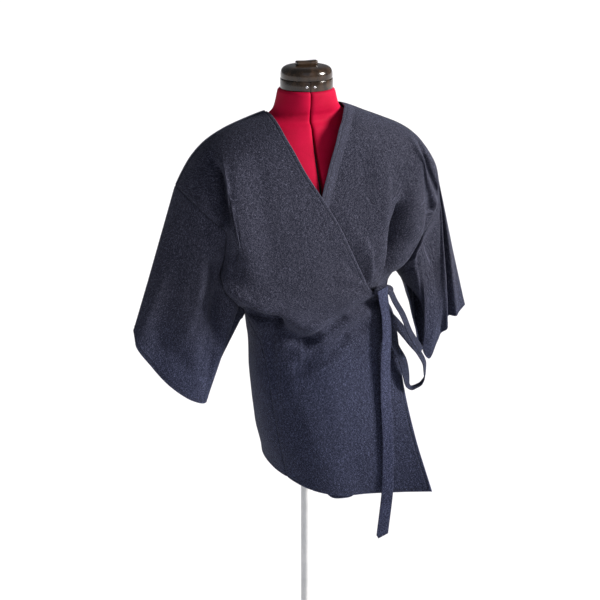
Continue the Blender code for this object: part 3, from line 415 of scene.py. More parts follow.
# smaller creases that only this surface has, in the same columns
creases = dict(
    outer=((15, 1036, 88, 998, 2.2, 5, -3), (-7, 1012, 90, 990, -2.6, 5, -4), (37, 1061, 88, 1006, -2, 5, 2),
        (-59, 896, -59, 838, 1.4, 5, 0), (-42, 839, 36, 893, -3, 8, 4), (-32, 906, 30, 940, -4.5, 7, -6),
        (-46, 955, 58, 969, -3, 10, 5), (-182, 1195, -181, 1148, 2.6, 5, 0),
        (-173, 1172, -170, 1122, 2.2, 5, 0), (-70, 893, -26, 896, -5, 5, -4), (-30, 895, 38, 937, -6, 5, -5),
        (-12, 914, 40, 954, 3, 7, -4), (-105, 947, -120, 872, -4, 7, 0), (-88, 930, -98, 850, 2.5, 8, 0),
        (-76, 787, -9, 617, 2, 26, 0), (23, 818, 41, 609, -2, 18, 0), (-140, 1248, -122, 1110, -2.5, 22, 0),
        (-150, 1000, -80, 962, -2.5, 8, 5), (-120, 1035, -30, 985, -2, 12, 8),
        (40, 955, 92, 984, 2.5, 6, -3), (-10, 880, 62, 930, 2, 9, -6)),
    under=((5, 1162, 97, 1003, -3.5, 9, 6), (92, 1069, 96, 998, 3.6, 6, 0),
        (104, 1062, 104, 1004, -2.4, 5, 0), (95, 1248, 122, 1109, -2.5, 18, 0),
        (140, 1215, 128, 1120, 3, 12, 0), (160, 1150, 128, 1010, 3, 9, 0), (150, 1030, 118, 1000, -3, 8, 0),
        (53, 1137, 83, 1055, 2, 10, 0)),
    rightSleeve=((-269, 1171, -299, 996, -3, 12, 4), (-239, 1116, -276, 928, 3, 12, -6),
        (-339, 936, -278, 840, -2.5, 16, 6), (-232, 1050, -226, 880, 3, 8, 5),
        (-290, 1000, -262, 800, 2.2, 14, 0), (-206, 1000, -236, 790, -3.5, 9, 4)),
    leftSleeve=((224, 1103, 268, 952, 3, 9, 4), (240, 1100, 286, 930, -3, 8, 4),
        (256, 1140, 292, 900, 2, 8, 0), (215, 1040, 250, 1036, 3, 8, 0), (292, 1165, 309, 820, 10, 8, 0),
        (305, 1150, 336, 830, -9, 7, 0), (319, 1130, 358, 840, 9, 8, 0)),
    back=((-150, 1180, -90, 1010, -8, 15, 8), (160, 1190, 95, 1020, -7, 17, -8),
        (-120, 985, 120, 985, 8, 20, -10), (-110, 936, 40, 946, -9, 13, -8),
        (-20, 922, 118, 934, -9, 12, -6), (-104, 900, 30, 908, 6, 12, -5), (-186, 1096, -52, 1000, 5, 10, 8),
        (182, 1110, 66, 1004, 5, 11, -8), (124, 1236, 40, 1150, -4, 14, -6), (-60, 880, -84, 640, -5, 17, 0),
        (50, 890, 70, 640, -5, 19, 0), (-20, 860, -12, 690, 4, 18, 0), (0, 1280, 0, 1080, 2, 40, 0),
        (-190, 1150, -176, 1030, -9, 14, 4), (208, 1170, 190, 1050, -9, 14, -4),
        (110, 880, 130, 700, 3, 20, 0), (-100, 800, -88, 640, 3, 18, 0)))

# creases pushed straight forward or back, where the cloth already faces sideways
pushes = dict(
    outer=((-209, 1262, -194, 1110, 15, 15, 3), (-221, 1290, -206, 1120, -17, 7, 3),
        (-196, 1208, -188, 1132, -4, 4, 2), (-187, 1190, -181, 1120, 3, 4, 2)),
    under=((177, 1146, 166, 1080, -13, 9, 0), (163, 1090, 160, 1030, -7, 12, 0),
        (199, 1190, 195, 1105, 6, 12, 0), (246, 1140, 214, 1062, -10, 17, 0),
        (216, 1298, 266, 1148, 11, 9, 4), (231, 1292, 286, 1152, -15, 8, 4)))

# share round, x, y, height of the cuff openings, from the top fold down the front and up behind
cuffs = dict(
    right=((0, -380, 5, 916), (0.08, -380, -8, 893), (0.2, -349, -23, 840), (0.3, -316, -38, 799),
        (0.4, -270, -50, 764), (0.47, -241, -41, 753), (0.5, -231, 0, 762), (0.56, -240, 24, 775),
        (0.7, -296, 46, 812), (0.85, -352, 42, 872), (1, -380, 5, 916)),
    left=((0, 384, 8, 882), (0.06, 352, -8, 866), (0.13, 316, -28, 862), (0.19, 288, -52, 832),
        (0.25, 266, -72, 793), (0.3, 248, -77, 822), (0.37, 251, -78, 888), (0.43, 238, -62, 934),
        (0.5, 218, -28, 964), (0.56, 240, 0, 922), (0.62, 258, 16, 868), (0.68, 280, 26, 806),
        (0.72, 292, 31, 778), (0.765, 310, 36, 792), (0.81, 330, 40, 828), (0.88, 356, 40, 848),
        (0.94, 378, 28, 864), (1, 384, 8, 882)))
sleeve = dict(right=-1.0, left=11.0, root=16.0, taut=(0.155, 0.445))


# the height of the shoulder line, right or left of the middle
def ridgeHeight(x):
    return np.where(x < 0, smooth(ridge, 1, np.abs(x)), smooth(ridge, 2, np.abs(x)))


# the angle on the front half of the oval at this height whose point has this x
def sectionAngle(x, height):
    right, left, power = smooth(rings, (1, 2, 6), height)
    reach = np.clip((2 * x - right - left) / (left - right), -1.0, 1.0)
    return np.degrees(np.arcsin(signedPower(reach, power / 2)))


# a superellipse at each height, drawn in towards the ridge's plane as the height nears the shoulder line
def bodyPoint(angle, height, inset=0.0):
    right, left, sideY, frontY, backY, power = smooth(rings, range(1, 7), height)
    sine, cosine = np.sin(np.radians(angle)), np.cos(np.radians(angle))
    half = (left - right) / 2 - inset
    x = (left + right) / 2 + half * signedPower(sine, 2 / power)
    reach = np.where(cosine > 0, frontY + inset - sideY, backY - inset - sideY)
    y = sideY + reach * np.abs(cosine) ** (2 / power)
    drop = np.clip((ridgeHeight(x) - height) / body["shoulderRound"], 0.0, 1.0)
    turn = np.sqrt(1 - (1 - drop) ** 2)
    return np.stack([x, body["ridgeY"] + (y - body["ridgeY"]) * turn, height + 0 * x], axis=-1)


# the angle of one side's seam at a height: the armhole down to the armpit, then the side seam
def seamAngle(height, side):
    onArmhole = sectionAngle(smooth(armholes, sideColumn[side], height), height)
    return np.where(height > armpit[side] + 0.5, onArmhole, smooth(sideSeams, sideColumn[side], height))


# the back's own angle at a seam: the armhole mirrored to the back, the side seam carried on round
def backAngle(height, side):
    front = seamAngle(height, side)
    return np.where(height > armpit[side] + 0.5, 180 - front, front + 360 * (side == "right"))


# straight between the two sides, but following the shoulder line at the top
def panelHeights(edgeHeight, seamHeight, across, down, angle, top):
    height = mix(edgeHeight, seamHeight, across)
    shoulder = bodyPoint(angle[:1], 1300.0 + 0 * angle[:1])
    return height + (top(shoulder[..., 0]) - height[:1]) * (1 - ease(down / 0.3))


# a front, from its free edge (across 0) to its seams (across 1), and from the shoulder to the hem
def frontGrid(panel, across, down, fine=True):
    outer = panel == "outer"
    rows, edge, side = (outerRows, outerEdge, "right") if outer else (underRows, underEdge, "left")
    down, across = np.meshgrid(down, across, indexing="ij")
    edgeHeight, seamHeight = smooth(rows, 1, down), smooth(rows, 2, down)
    sideways = smooth(flap, 1, edgeHeight) if outer else 0.0
    edgeAngle = sectionAngle(smooth(edge, 1, edgeHeight) - sideways, edgeHeight)
    endAngle = seamAngle(seamHeight, side)
    angle = mix(edgeAngle, endAngle, across)
    height = panelHeights(edgeHeight, seamHeight, across, down, angle, ridgeHeight)
    calm = ease(down / 0.06) * ease((1 - across) / 0.14) * ease(across / 0.05 + 0.35)
    if outer:
        dip = body["hemFrontDip"] * np.sin(np.pi * np.clip(across, 0, 1)) ** 0.85
        height = height - dip * ease((down - 0.7) / 0.3)
        points = bodyPoint(angle, height)
        share = np.clip(angle / np.maximum(edgeAngle, 1.0), 0.0, 1.0)
        points[..., 0] += smooth(flap, 1, height) * ease(angle / 45.0)
        points[..., 1] -= smooth(flap, 2, height) * share**1.6
        x = points[..., 0]
        lift = foldLift(folds["outer"], x, height) * calm
        if fine:
            lift += (foldLift(creases["outer"], x, height) + uneven(x, height, 0.4, 1.6)) * calm
            points[..., 1] -= (foldLift(pushes["outer"], x, height)
                               * ease(down / 0.06) * ease((1 - across) / 0.05))
    else:
        fade = ease((endAngle - angle) / cloth["insetFade"]) * ease(down / 0.1)
        points = bodyPoint(angle, height, cloth["underGap"] * fade)
        x = points[..., 0]
        lift = np.minimum(foldLift(folds["outer"], x, height, 1.2), 0.0) * fade * ease(down / 0.06)
        lift = lift + foldLift(folds["under"], x, height) * calm
        if fine:
            lift += (foldLift(creases["under"], x, height) * calm
                     + uneven(x, height, 1.7, 1.2) * calm * (1 - fade))
            lift -= 2.2 * fade * calm
            points[..., 1] -= foldLift(pushes["under"], x, height) * calm
        droop = np.exp(-(((x - body["droopX"]) / body["droopWidth"]) ** 4))
        points[..., 2] -= body["droop"] * droop * ease((down - 0.7) / 0.3)
    points = points + unit(points * level) * lift[..., None]
    points[..., 1] += smooth(seamSink, sideColumn[side], seamHeight) * ease(1 - (1 - across) / 0.1) ** 1.5
    return points


# the back, from its left seams (across 0) round to its right seams (across 1)
def backGrid(across, down):
    down, across = np.meshgrid(down, across, indexing="ij")
    leftHeight, rightHeight = smooth(underRows, 2, down), smooth(outerRows, 2, down)
    angle = mix(backAngle(leftHeight, "left"), backAngle(rightHeight, "right"), across)

    def top(x):
        inside = np.clip(1 - (x / np.where(x < 0, body["neckRight"], body["neckLeft"])) ** 2, 0.0, 1.0)
        return ridgeHeight(x) - body["backNeckDip"] * inside**0.7

    height = panelHeights(leftHeight, rightHeight, across, down, angle, top)
    height = height - body["hemBackDip"] * np.sin(np.pi * across) * ease((down - 0.6) / 0.4)
    points = bodyPoint(angle, height)
    calm = ease(down / 0.08) * ease(across / 0.1) * ease((1 - across) / 0.1)
    lift = foldLift(creases["back"], points[..., 0], height) + uneven(points[..., 0], height, 3.1, 2.0)
    return points + unit(points * level) * (lift * calm)[..., None]


# a sleeve, lofted from its armhole to its cuff, a little full in front and behind
def sleeveGrid(side, around, along):
    part = np.mod(around, 1.0)
    height = smooth(outerRows if side == "right" else underRows, 2, armholeShare(1 - np.abs(1 - 2 * part)))
    inFront = part <= 0.5
    angle = np.where(inFront, seamAngle(height, side), backAngle(height, side))
    angle = np.where(height <= armpit[side] + 0.5, seamAngle(np.full_like(height, armpit[side]), side), angle)
    start = bodyPoint(angle, height)
    start[:, 1] += np.where(inFront, smooth(seamSink, sideColumn[side], height), 0.0)
    end = np.stack(smooth(cuffs[side], (1, 2, 3), part), axis=-1)
    points = mix(start[None], end[None], along[:, None, None])
    swing = np.sin(2 * np.pi * around)[None, :]
    if side == "left":
        full = (bell(around - 1.38, 0.07) + bell(around - 0.38, 0.07))[None, :]
        points[..., 1] -= sleeve["root"] * full * (ease(along / 0.1) * bell(along, 0.45))[:, None]
    points[..., 1] -= sleeve[side] * np.sin(np.pi * along)[:, None] * swing
    key = side + "Sleeve"
    x, z = points[..., 0], points[..., 2]
    settle = ease(along / 0.15)[:, None]
    front = ease(swing / 0.5) * settle
    behind = ease(-swing / 0.5) * settle
    lift = foldLift(folds[key], x, z) * front
    fine = foldLift(creases[key], x, z) + uneven(x, z, 5.0 if side == "right" else 6.4, 1.8)
    other = foldLift(creases[key], x + 22, z + 30) * 1.6 + uneven(x, z, 7.7, 2.2)
    points[..., 1] -= lift + fine * front - other * behind
    if side == "left":
        points[..., 1] = pullTaut(points[..., 1], part, ease(along / 0.12)[:, None])
    return points


# the cloth drawn nearly straight between two places round the sleeve
def pullTaut(depth, part, amount):
    start, end = sleeve["taut"]
    low, high = (depth[:, [np.argmin(np.abs(part - value))]] for value in (start, end))
    share = np.clip((part - start) / (end - start), 0.0, 1.0)[None, :]
    held = ease(share / 0.15) * ease((1 - share) / 0.15) * amount * 0.75
    return mix(depth, mix(low, high, share), held)


# a cloth wall: thin in the field, double where the hem is turned, sunk a little where a seam draws it in
def clothWall(name, points, outward, finished, seams, tucked, facing):
    sides = sideDistances(points)
    if tucked:
        sides["top"] = np.abs(sides["top"] - sides["top"][1:2])
    edge, seam = (np.minimum.reduce([sides[key] for key in keys] + [np.full(points.shape[:2], 400.0)])
                  for keys in (finished, seams))
    hem = ease((cloth["hemWidth"] - edge) / 2.0)
    thick = mix(cloth["thick"], cloth["hemThick"], hem)
    sink = cloth["seamSink"] * bell(seam, 2.2) + cloth["edgeRound"] * bell(edge, 0.9) - 0.35 * hem
    sink += cloth["stitchSink"] * bell(edge - cloth["stitchIn"], 0.9) * (edge < cloth["stitchIn"] + 4.5)
    band = ease((facing - sides["first"]) / 1.6)
    sink += 0.45 * bell(sides["first"] - facing, 1.2) * (facing > 0) - cloth["facingLift"] * band
    both = np.stack([points - outward * sink[..., None], points - outward * thick[..., None]])
    rows, columns = points.shape[:2]
    size = rows * columns
    middle = sides["first"][:, columns // 2]
    lay = np.stack(
        [sides["first"] - middle[:, None] + middle.mean(), sides["bottom"]], axis=-1).reshape(-1, 2)
    number = np.arange(size).reshape(rows, columns)
    loop = np.concatenate([number[0], number[1:, -1], number[-1, -2::-1], number[-2:0:-1, 0]])
    after = np.roll(loop, -1)
    faces = np.concatenate([quads(rows, columns, False), quads(rows, columns, True) + size,
                            np.stack([after, loop, loop + size, after + size], axis=1)])
    values = dict(edgeDistance=np.tile(edge.ravel(), 2) * mm, seamDistance=np.tile(seam.ravel(), 2) * mm,
                  facing=np.tile(band.ravel(), 2), inside=np.repeat([0.0, 1.0], size))
    return buildMesh(name, both, faces, melange, np.tile(lay, (2, 1)), values)


stitches = []  # every row of stitches, gathered as the pieces are made


# thread stitches along a line of points: short rods with pointed ends, each lying on the cloth
def stitchRow(path, outward, length=3.2, gap=1.3, radius=0.32):
    step = np.linalg.norm(np.diff(path, axis=0), axis=1)
    total = np.concatenate([[0.0], np.cumsum(step)])
    count = int(total[-1] / (length + gap))
    starts = (np.arange(count) + 0.15) * (length + gap)

    def at(distance, data):
        return np.stack([np.interp(distance, total, data[:, k]) for k in range(3)], axis=-1)

    low, high = at(starts, path), at(starts + length, path)
    up = unit(at(starts + length / 2, outward))
    run = unit(high - low)
    side = unit(np.cross(up, run))
    turn = np.arange(5) * 2 * np.pi / 5
    points = []
    for share, swell in ((0.0, 0.35), (0.2, 1.0), (0.8, 1.0), (1.0, 0.35)):
        centre = mix(low, high, share) + up * (radius * 0.9 * swell - 0.1)
        ring = side[:, None] * np.cos(turn)[None, :, None] + up[:, None] * np.sin(turn)[None, :, None]
        points.append(centre[:, None] + ring * radius * swell)
    stitches.append(np.stack(points, axis=1))


# even shares from 0 to 1, with more of them near an edge that has a hem or a seam
def shares(count, extent, bothEnds=True):
    near = np.array([0, 0.6, 1.3, 2.1, 3.2, 4.8, 6.4, 7.2, 7.8, 8.6, 10.4, 13, 15.4, 21, 22.4, 24]) / extent
    parts = [np.linspace(0.0, 1.0, count), 1 - near] + [near] * bothEnds
    joined = np.unique(np.round(np.concatenate(parts), 6))
    keep = np.append(True, np.diff(joined) > 0.4 / extent)
    keep[-1] = True
    return joined[keep]


# the share down at an armhole's own share t, by six tenths of it and four tenths of its square
def armholeShare(t):
    return 0.5 * (0.6 * t + 0.4 * t * t)


# a panel's directions, all turned away from the middle of the body
def gridDirections(points):
    normal = gridNormals(points)
    return normal * np.sign(np.sum(normal * points * level))


# a cloth wall on a grid of points, with a row of stitches beside each finished side
def makePanel(name, points, normal, node, finished, seams, tucked=False, facing=0.0):
    item = clothWall(name, points, normal, finished, seams, tucked, facing)
    for side in finished:
        stitchRow(*insetLine(points - normal * 0.5, normal, side, cloth["stitchIn"]))
    finish(item, node)


# shares down a panel, from shoulder to armpit and on to the hem, closer together at both ends
down = np.concatenate([armholeShare(np.linspace(0.0, 1.0, 110)), 0.5 + 0.5 * shares(100, 430.0, False)[1:]])
outerPoints = frontGrid("outer", shares(150, 380.0), down)
underPoints = frontGrid("under", shares(104, 300.0), down)
backPoints = backGrid(shares(150, 600.0), down)
halfGap = cloth["seamGap"] / 2
shoulderRow = (backPoints[0, :, 0] <= -body["neckRight"]) | (backPoints[0, :, 0] >= body["neckLeft"])
outerPoints[0, :, 1] = body["ridgeY"] - halfGap
underPoints[0, :, 1] = body["ridgeY"] - halfGap
backPoints[0, shoulderRow, 1] = body["ridgeY"] + halfGap
for name, points, node, finished, seams, facing in (
        ("frontRightCloth", outerPoints, "front_right", ["first", "bottom"], ["last", "top"], 0.0),
        ("frontLeftCloth", underPoints, "front_left", ["first", "bottom"], ["last", "top"],
         cloth["facingWidth"]),
        ("backCloth", backPoints, "back", ["bottom"], ["first", "last"], 0.0)):
    makePanel(name, points, gridDirections(points), node, finished, seams, facing=facing)


# the sleeve's seam allowance: a ring 5 mm in under the front and the back, along their own surfaces
def tuckRing(side, around):
    down = armholeShare(2 - 2 * around[around <= 1.0][::-1])
    inFront = frontGrid("outer" if side == "right" else "under", np.array([0.972, 0.986, 1.0]), down)
    behind = backGrid(
        np.array([0.0, 0.008, 0.016]) if side == "left" else np.array([0.984, 0.992, 1.0]), down)
    rings = [grid[:, 1] - gridDirections(grid)[:, 1] * cloth["tuck"] for grid in (inFront, behind)]
    return np.concatenate([rings[1][::-1], rings[0][1:]])


# a sleeve's grid with its tuck ring before it, and directions turned away from the sleeve's own axis
def makeSleeve(side):
    around = np.linspace(0.5, 1.5, 191)
    along = shares(120, 330.0)
    points = sleeveGrid(side, around, along)
    points = np.concatenate([tuckRing(side, around)[None], points])
    closed = points[:, :-1]
    normal = gridNormals(closed, True)
    axis = closed.mean(axis=1, keepdims=True)
    normal = normal * np.sign(np.sum(normal * (closed - axis)))
    normal = np.concatenate([normal, normal[:, :1]], axis=1)
    makePanel(side + "SleeveCloth", points, normal, "sleeve_" + side,
              ["bottom"], ["first", "last", "top"], True)


makeSleeve("right")
makeSleeve("left")
print("jacket made")

# the tie: one strap's widths and thickness, how it is sewn, and how far its cut end slants from one side to
# the other
tie = dict(width=25.0, thick=2.6, bowWidth=20.0, shortWidth=22.5, stitchIn=2.2, stitch=(2.6, 1.0, 0.26),
           flare=0.28, slant=((-1, 2), (-0.6, 9), (1, -5)), knotClear=-2.4)
# along, x, height, clear of the front
longTail = ((0, 119, 995.5, 13.5), (0.05, 121.5, 982, 16), (0.12, 126, 950, 19.5), (0.22, 127.5, 900, 20),
    (0.35, 125, 832, 14.5), (0.55, 121.5, 720, 7.5), (0.84, 112, 556, 5), (1, 103, 456, 6))
# along, x, y, height, width x, width y, width height
shortTail = ((0, 146, -117, 979, 0.74, 0.68, 0), (0.14, 152, -126, 961, 0.74, 0.68, 0),
    (0.38, 164, -140, 935, 0.74, 0.68, 0), (0.65, 177, -149, 898, 0.74, 0.68, 0),
    (1, 203, -154, 854, 0.8, 0.6, 0))
loopBow = ((0, 130, -120.5, 976, 0.9, 0.45, 0), (0.036, 131, -121, 950, 0.9, 0.45, 0),
    (0.074, 138, -120.5, 934, 0.87, 0.35, 0.35), (0.125, 154, -121.5, 914, 0.79, 0, 0.6),
    (0.185, 171, -125, 893, 0.78, 0.3, 0.5), (0.262, 189, -128, 866, 0.76, 0.6, 0.2),
    (0.339, 209, -131, 839, 0.75, 0.65, 0), (0.409, 221, -134, 810, 0.65, 0.75, 0),
    (0.456, 221, -136, 789, 0.5, 0.86, 0), (0.501, 210, -138, 771, 0.35, 0.93, 0),
    (0.544, 191, -140, 766, 0.45, 0.88, 0), (0.582, 179, -141, 776, 0.75, 0.66, 0),
    (0.639, 174, -141, 801, 0.92, 0.38, 0), (0.707, 168, -138, 829, 0.95, 0.2, 0),
    (0.777, 155, -133, 856, 0.93, 0.3, 0), (0.844, 141, -129.5, 886, 0.92, 0.38, 0),
    (0.921, 132, -122.3, 920, 0.9, 0.45, 0), (1, 130, -117, 976, 0.9, 0.45, 0))
# along, x, height, half height, half depth
knot = ((0, 102, 990, 6, 4.4), (0.3, 113, 989, 10.5, 6.8), (0.65, 130, 987, 11.5, 7.65),
    (1, 155, 981, 9.5, 5.8))


# the outer front's depth at a place: its four nearest points, weighed by nearness
def frontDepth(x, height):
    away = (depthPoints[:, 0] - x[:, None]) ** 2 + (depthPoints[:, 2] - height[:, None]) ** 2
    near = np.argsort(away, axis=1)[:, :4]
    weight = 1 / (np.take_along_axis(away, near, axis=1) + 1.0)
    return np.sum(depthPoints[near, 1] * weight, axis=1) / np.sum(weight, axis=1)


depthPoints = frontGrid("outer", np.linspace(0, 1, 61), np.linspace(0, 1, 121), False).reshape(-1, 3)
depthPoints = depthPoints[depthPoints[:, 1] < 0.0]


# a folded strap: a rounded flat section carried along its middle line, its far end cut on a slant
def makeStrap(name, middle, side, width, node, material, slant=((-1, 0), (1, 0)), flare=0.0):
    count = len(middle)
    wide = 1 + flare * bell(np.linspace(0, 1, count), 0.05)
    ahead = unit(np.gradient(middle, axis=0))
    side = unit(side - ahead * np.sum(side * ahead, axis=-1, keepdims=True))
    face = np.cross(ahead, side)
    turn = np.linspace(0, 2 * np.pi, 29)
    across = signedPower(np.cos(turn), 0.35) * width / 2
    lift = signedPower(np.sin(turn), 0.5) * tie["thick"] / 2
    lift = lift * (1 - 0.22 * bell(np.abs(across) - width / 2 + tie["stitchIn"], 0.7))
    points = middle[:, None] + side[:, None] * across[None, :, None] * wide[:, None, None]
    points = points + face[:, None] * lift[None, :, None]
    reach = np.linspace(0, 1, count)[:, None] ** 14 * np.interp(across / width * 2, *zip(*slant))
    points = points + ahead[:, None] * reach[..., None]
    step = np.linalg.norm(np.diff(middle, axis=0), axis=1)
    run = np.concatenate([[0.0, 0.0], np.cumsum(step), [step.sum()]])
    girth = np.concatenate([[0.0], np.cumsum(np.hypot(np.diff(across), np.diff(lift)))])
    lay = np.stack(np.meshgrid(girth, -run), axis=-1).reshape(-1, 2)
    for sign in (-1, 1):
        inset = middle + side * sign * (width / 2 * wide - tie["stitchIn"])[:, None]
        for out in (face, -face):
            stitchRow(inset + out * tie["thick"] * 0.42, out, *tie["stitch"])
    makeSurface(name, closeEnds(points), material, node, False, lay, plainEdges(len(lay)), 60.0)


# a strap's own attributes: every point lies far from the stitched edges and seams of the panels
def plainEdges(count):
    return dict(edgeDistance=np.full(count, 0.05), seamDistance=np.full(count, 0.4), inside=np.zeros(count))


# the long tail hangs from the knot on the front, its depth and tilt averaged along it
def makeLongTail():
    x, height, clear = smooth(longTail, (1, 2, 3), np.linspace(0, 1, 180))
    right, left = (frontDepth(x + sign * tie["width"] / 2, height) for sign in (-1, 1))
    depth = np.minimum((left + right) / 2, frontDepth(x, height)) - clear
    depth, tilt = (np.convolve(np.pad(line, 7, mode="edge"), np.ones(15) / 15, mode="valid")
                   for line in (depth, left - right))
    side = np.stack([tie["width"] + 0 * x, tilt, 0 * x], axis=-1)
    makeStrap("longTailCloth", np.stack([x, depth, height], axis=-1), side, tie["width"], "tie_long_tail",
              tieMelangePaintedLight, tie["slant"], tie["flare"])


makeLongTail()
# the short tail and the loop wear the darker copy of the cloth: painted shade
for name, rows, count, width, node in (
        ("shortTailCloth", shortTail, 60, tie["shortWidth"], "tie_short_tail"),
        ("loopCloth", loopBow, 170, tie["bowWidth"], "tie_loop")):
    middle, side = (np.stack(smooth(rows, columns, np.linspace(0, 1, count)), axis=-1)
                    for columns in ((1, 2, 3), (4, 5, 6)))
    makeStrap(name, middle, side, width, node, bowMelangePaintedShade)


# the knot: an oval wrap with the strap's own pleats round it
def makeKnot():
    share = np.linspace(0, 1, 60)
    turn = np.linspace(0, 2 * np.pi, 49)
    x, height, tall, deep = smooth(knot, range(1, 5), share)
    y = frontDepth(x, height) - deep - tie["knotClear"]
    pleat = 1 + 0.03 * np.sin(5 * turn[None, :] + 3 * share[:, None])
    close = (np.sqrt(np.clip(1 - (2 * share - 1) ** 8, 0, 1)) * 0.999 + 0.001)[:, None]
    across = deep[:, None] * np.cos(turn) * pleat * close
    up = tall[:, None] * np.sin(turn) * pleat * close
    points = np.stack([x[:, None] + 0 * up, y[:, None] + across, height[:, None] + up], axis=-1)
    lay = np.stack(np.meshgrid(turn * 12, share * 50), axis=-1).reshape(-1, 2)
    makeSurface("knotCloth", points, melange, "tie_knot", True, lay, plainEdges(up.size))


makeKnot()


# all the sewing as one mesh: rods of four rings with five corners
def makeStitches():
    rods = np.concatenate(stitches)
    i, j = np.meshgrid(np.arange(3), np.arange(5), indexing="ij")
    a, b = (i * 5 + j).ravel(), (i * 5 + (j + 1) % 5).ravel()
    one = np.stack([a, b, b + 5, a + 5], axis=1)
    faces = (one[None] + (np.arange(len(rods)) * 20)[:, None, None]).reshape(-1, 4)
    finish(buildMesh("sewing", rods, faces, threadMaterial), "")


makeStitches()
print("tie and sewing made")

# the form: height, middle x, half width, middle y, half depth, power, split x
form = ((775, 14, 126, -3, 96, 2.2, 0), (800, 14, 127, -3, 96, 2.2, 0), (860, 12, 122, -4, 84, 2.2, 0),
    (935, 10, 112, -8, 80, 2.2, 0), (985, 8, 112, -9, 84, 2.2, 0), (1040, 6, 126, -10, 94, 2.2, 0),
    (1120, 3, 146, -10, 98, 2.2, 0), (1200, 0, 158, -5, 88, 2.2, 0), (1250, 0, 168, -1, 80, 2, -4),
    (1289, 0, 180, 4, 72, 1.8, -6), (1310, 0, 176, 4, 66, 1.6, -7), (1327.5, 0, 160, 4, 62, 1.45, -8),
    (1341, 0, 120.5, 1, 50, 1.4, -9), (1351, 0, 85.5, 0, 49.8, 1.57, -9), (1361, 0, 71, 0, 54, 1.85, -10),
    (1375, 0, 64.5, 0, 57, 2, -10), (1392, 0, 60, 0, 58, 2, -10), (1398, 0, 58, 0, 57, 2, -10),
    (1399.7, 0, 55, 0, 54, 2, -10))
formGap = dict(bottom=9.0, top=2.4, round=2.6, narrowFrom=1200.0, narrowing=190.0)
neck = dict(base=1400.0, top=1420.0, radius=54.0, split=-10.6, slit=0.8, screws=(-8.5, 8.5, 171.5, 188.5))
# radius, height of the ring's wall: eased corners, and a bead round its middle
ringProfile = ((49, 1400.4), (49.4, 1400), (52.4, 1400), (53.6, 1400.4), (54, 1401.6), (54, 1408),
    (54.25, 1409.5), (54, 1411), (54, 1418.4), (53.6, 1419.6), (52.4, 1420), (49.4, 1420), (49, 1419.6),
    (49, 1400.4))
# radius, height above the ring's top
capProfile = ((51, 0.3), (52.4, 0.8), (53, 3), (53, 8), (52.8, 12), (51.8, 16), (50, 19.4), (47, 22.2),
    (43.5, 24), (39, 25.2), (33, 25.8), (26, 26), (19, 26), (12, 26), (6, 26), (0.4, 26))
grip = dict(length=46.0, width=15.0, height=9.0)
# radius, height of the stand's base
baseProfile = ((0.4, 0), (180, 0), (184, 0.8), (185, 3), (184.6, 5.4), (182, 7.6), (176, 9.6), (150, 11.4),
    (90, 14), (58, 15.8), (40, 18), (28, 20.6), (24, 22.6), (22.6, 25), (22, 25.8), (0.4, 25.8))
# radius, height of the pole, up to just under the form
poleProfile = ((0.4, 26.3), (11.9, 26.3), (12.5, 27), (12.5, 30), (12.5, 400), (12.5, 770),
               (12.5, form[0][0] - 0.3), (0.4, form[0][0] - 0.3))
# radius, height of a screw head above the ring
screwProfile = ((2.8, 0), (2.8, 0.5), (2.6, 0.95), (2.1, 1.3), (1.4, 1.52), (0.7, 1.6), (0.05, 1.6))


# the gap between the halves: wide below, and eased to narrow towards the neck
def gapAt(height):
    return mix(formGap["bottom"], formGap["top"],
               ease((height - formGap["narrowFrom"]) / formGap["narrowing"]))


# half a superellipse at each height, its front and back corners rounded in towards the gap
def makeHalf(side):
    sign = -1.0 if side == "right" else 1.0
    heights = np.linspace(form[0][0], form[-1][0], 190)[:, None]
    middleX, half, middleY, deep, power, split = smooth(form, range(1, 7), heights)
    turn = np.concatenate([
        np.linspace(0, 0.06, 8)[:-1], np.linspace(0.06, 0.94, 60), np.linspace(0.94, 1, 8)[1:]])
    turn = (turn * np.pi)[None, :]
    wallX = split + sign * gapAt(heights) / 2
    reach = half + sign * (middleX - wallX)
    x = wallX + sign * reach * np.sin(turn) ** (2 / power)
    y = middleY - deep * signedPower(np.cos(turn), 2 / power)
    y = y + np.sign(np.cos(turn)) * formGap["round"] * np.exp(-np.abs(x - wallX) / formGap["round"])
    points = np.stack([x, y, heights + 0 * x], axis=-1)
    points = np.concatenate([points, points[:, :1]], axis=1)
    makeSurface("form" + side.capitalize(), closeEnds(points), cover,
                "form_" + side, side == "right")


makeHalf("right")
makeHalf("left")


# a profile turned about the vertical axis
def turned(name, profile, sides, material, node, start=0.0, sweep=360.0):
    radius, height = (np.array([row[k] for row in profile], dtype=float)[:, None] for k in (0, 1))
    turn = np.radians(start + sweep * np.arange(sides + 1) / sides)[None, :]
    points = np.stack([radius * np.sin(turn), -radius * np.cos(turn), height + 0 * turn], axis=-1)
    makeSurface(name, points, material, node, True)


for side, start in (("left", 0.0), ("right", 180.0)):
    turned("ring" + side.capitalize(), ringProfile, 72, smoked, "neck_ring_" + side,
           neck["split"] + start + neck["slit"], 180 - 2 * neck["slit"])
turned("capDome", [(r, neck["top"] + h) for r, h in capProfile], 96, smoked, "neck_cap")


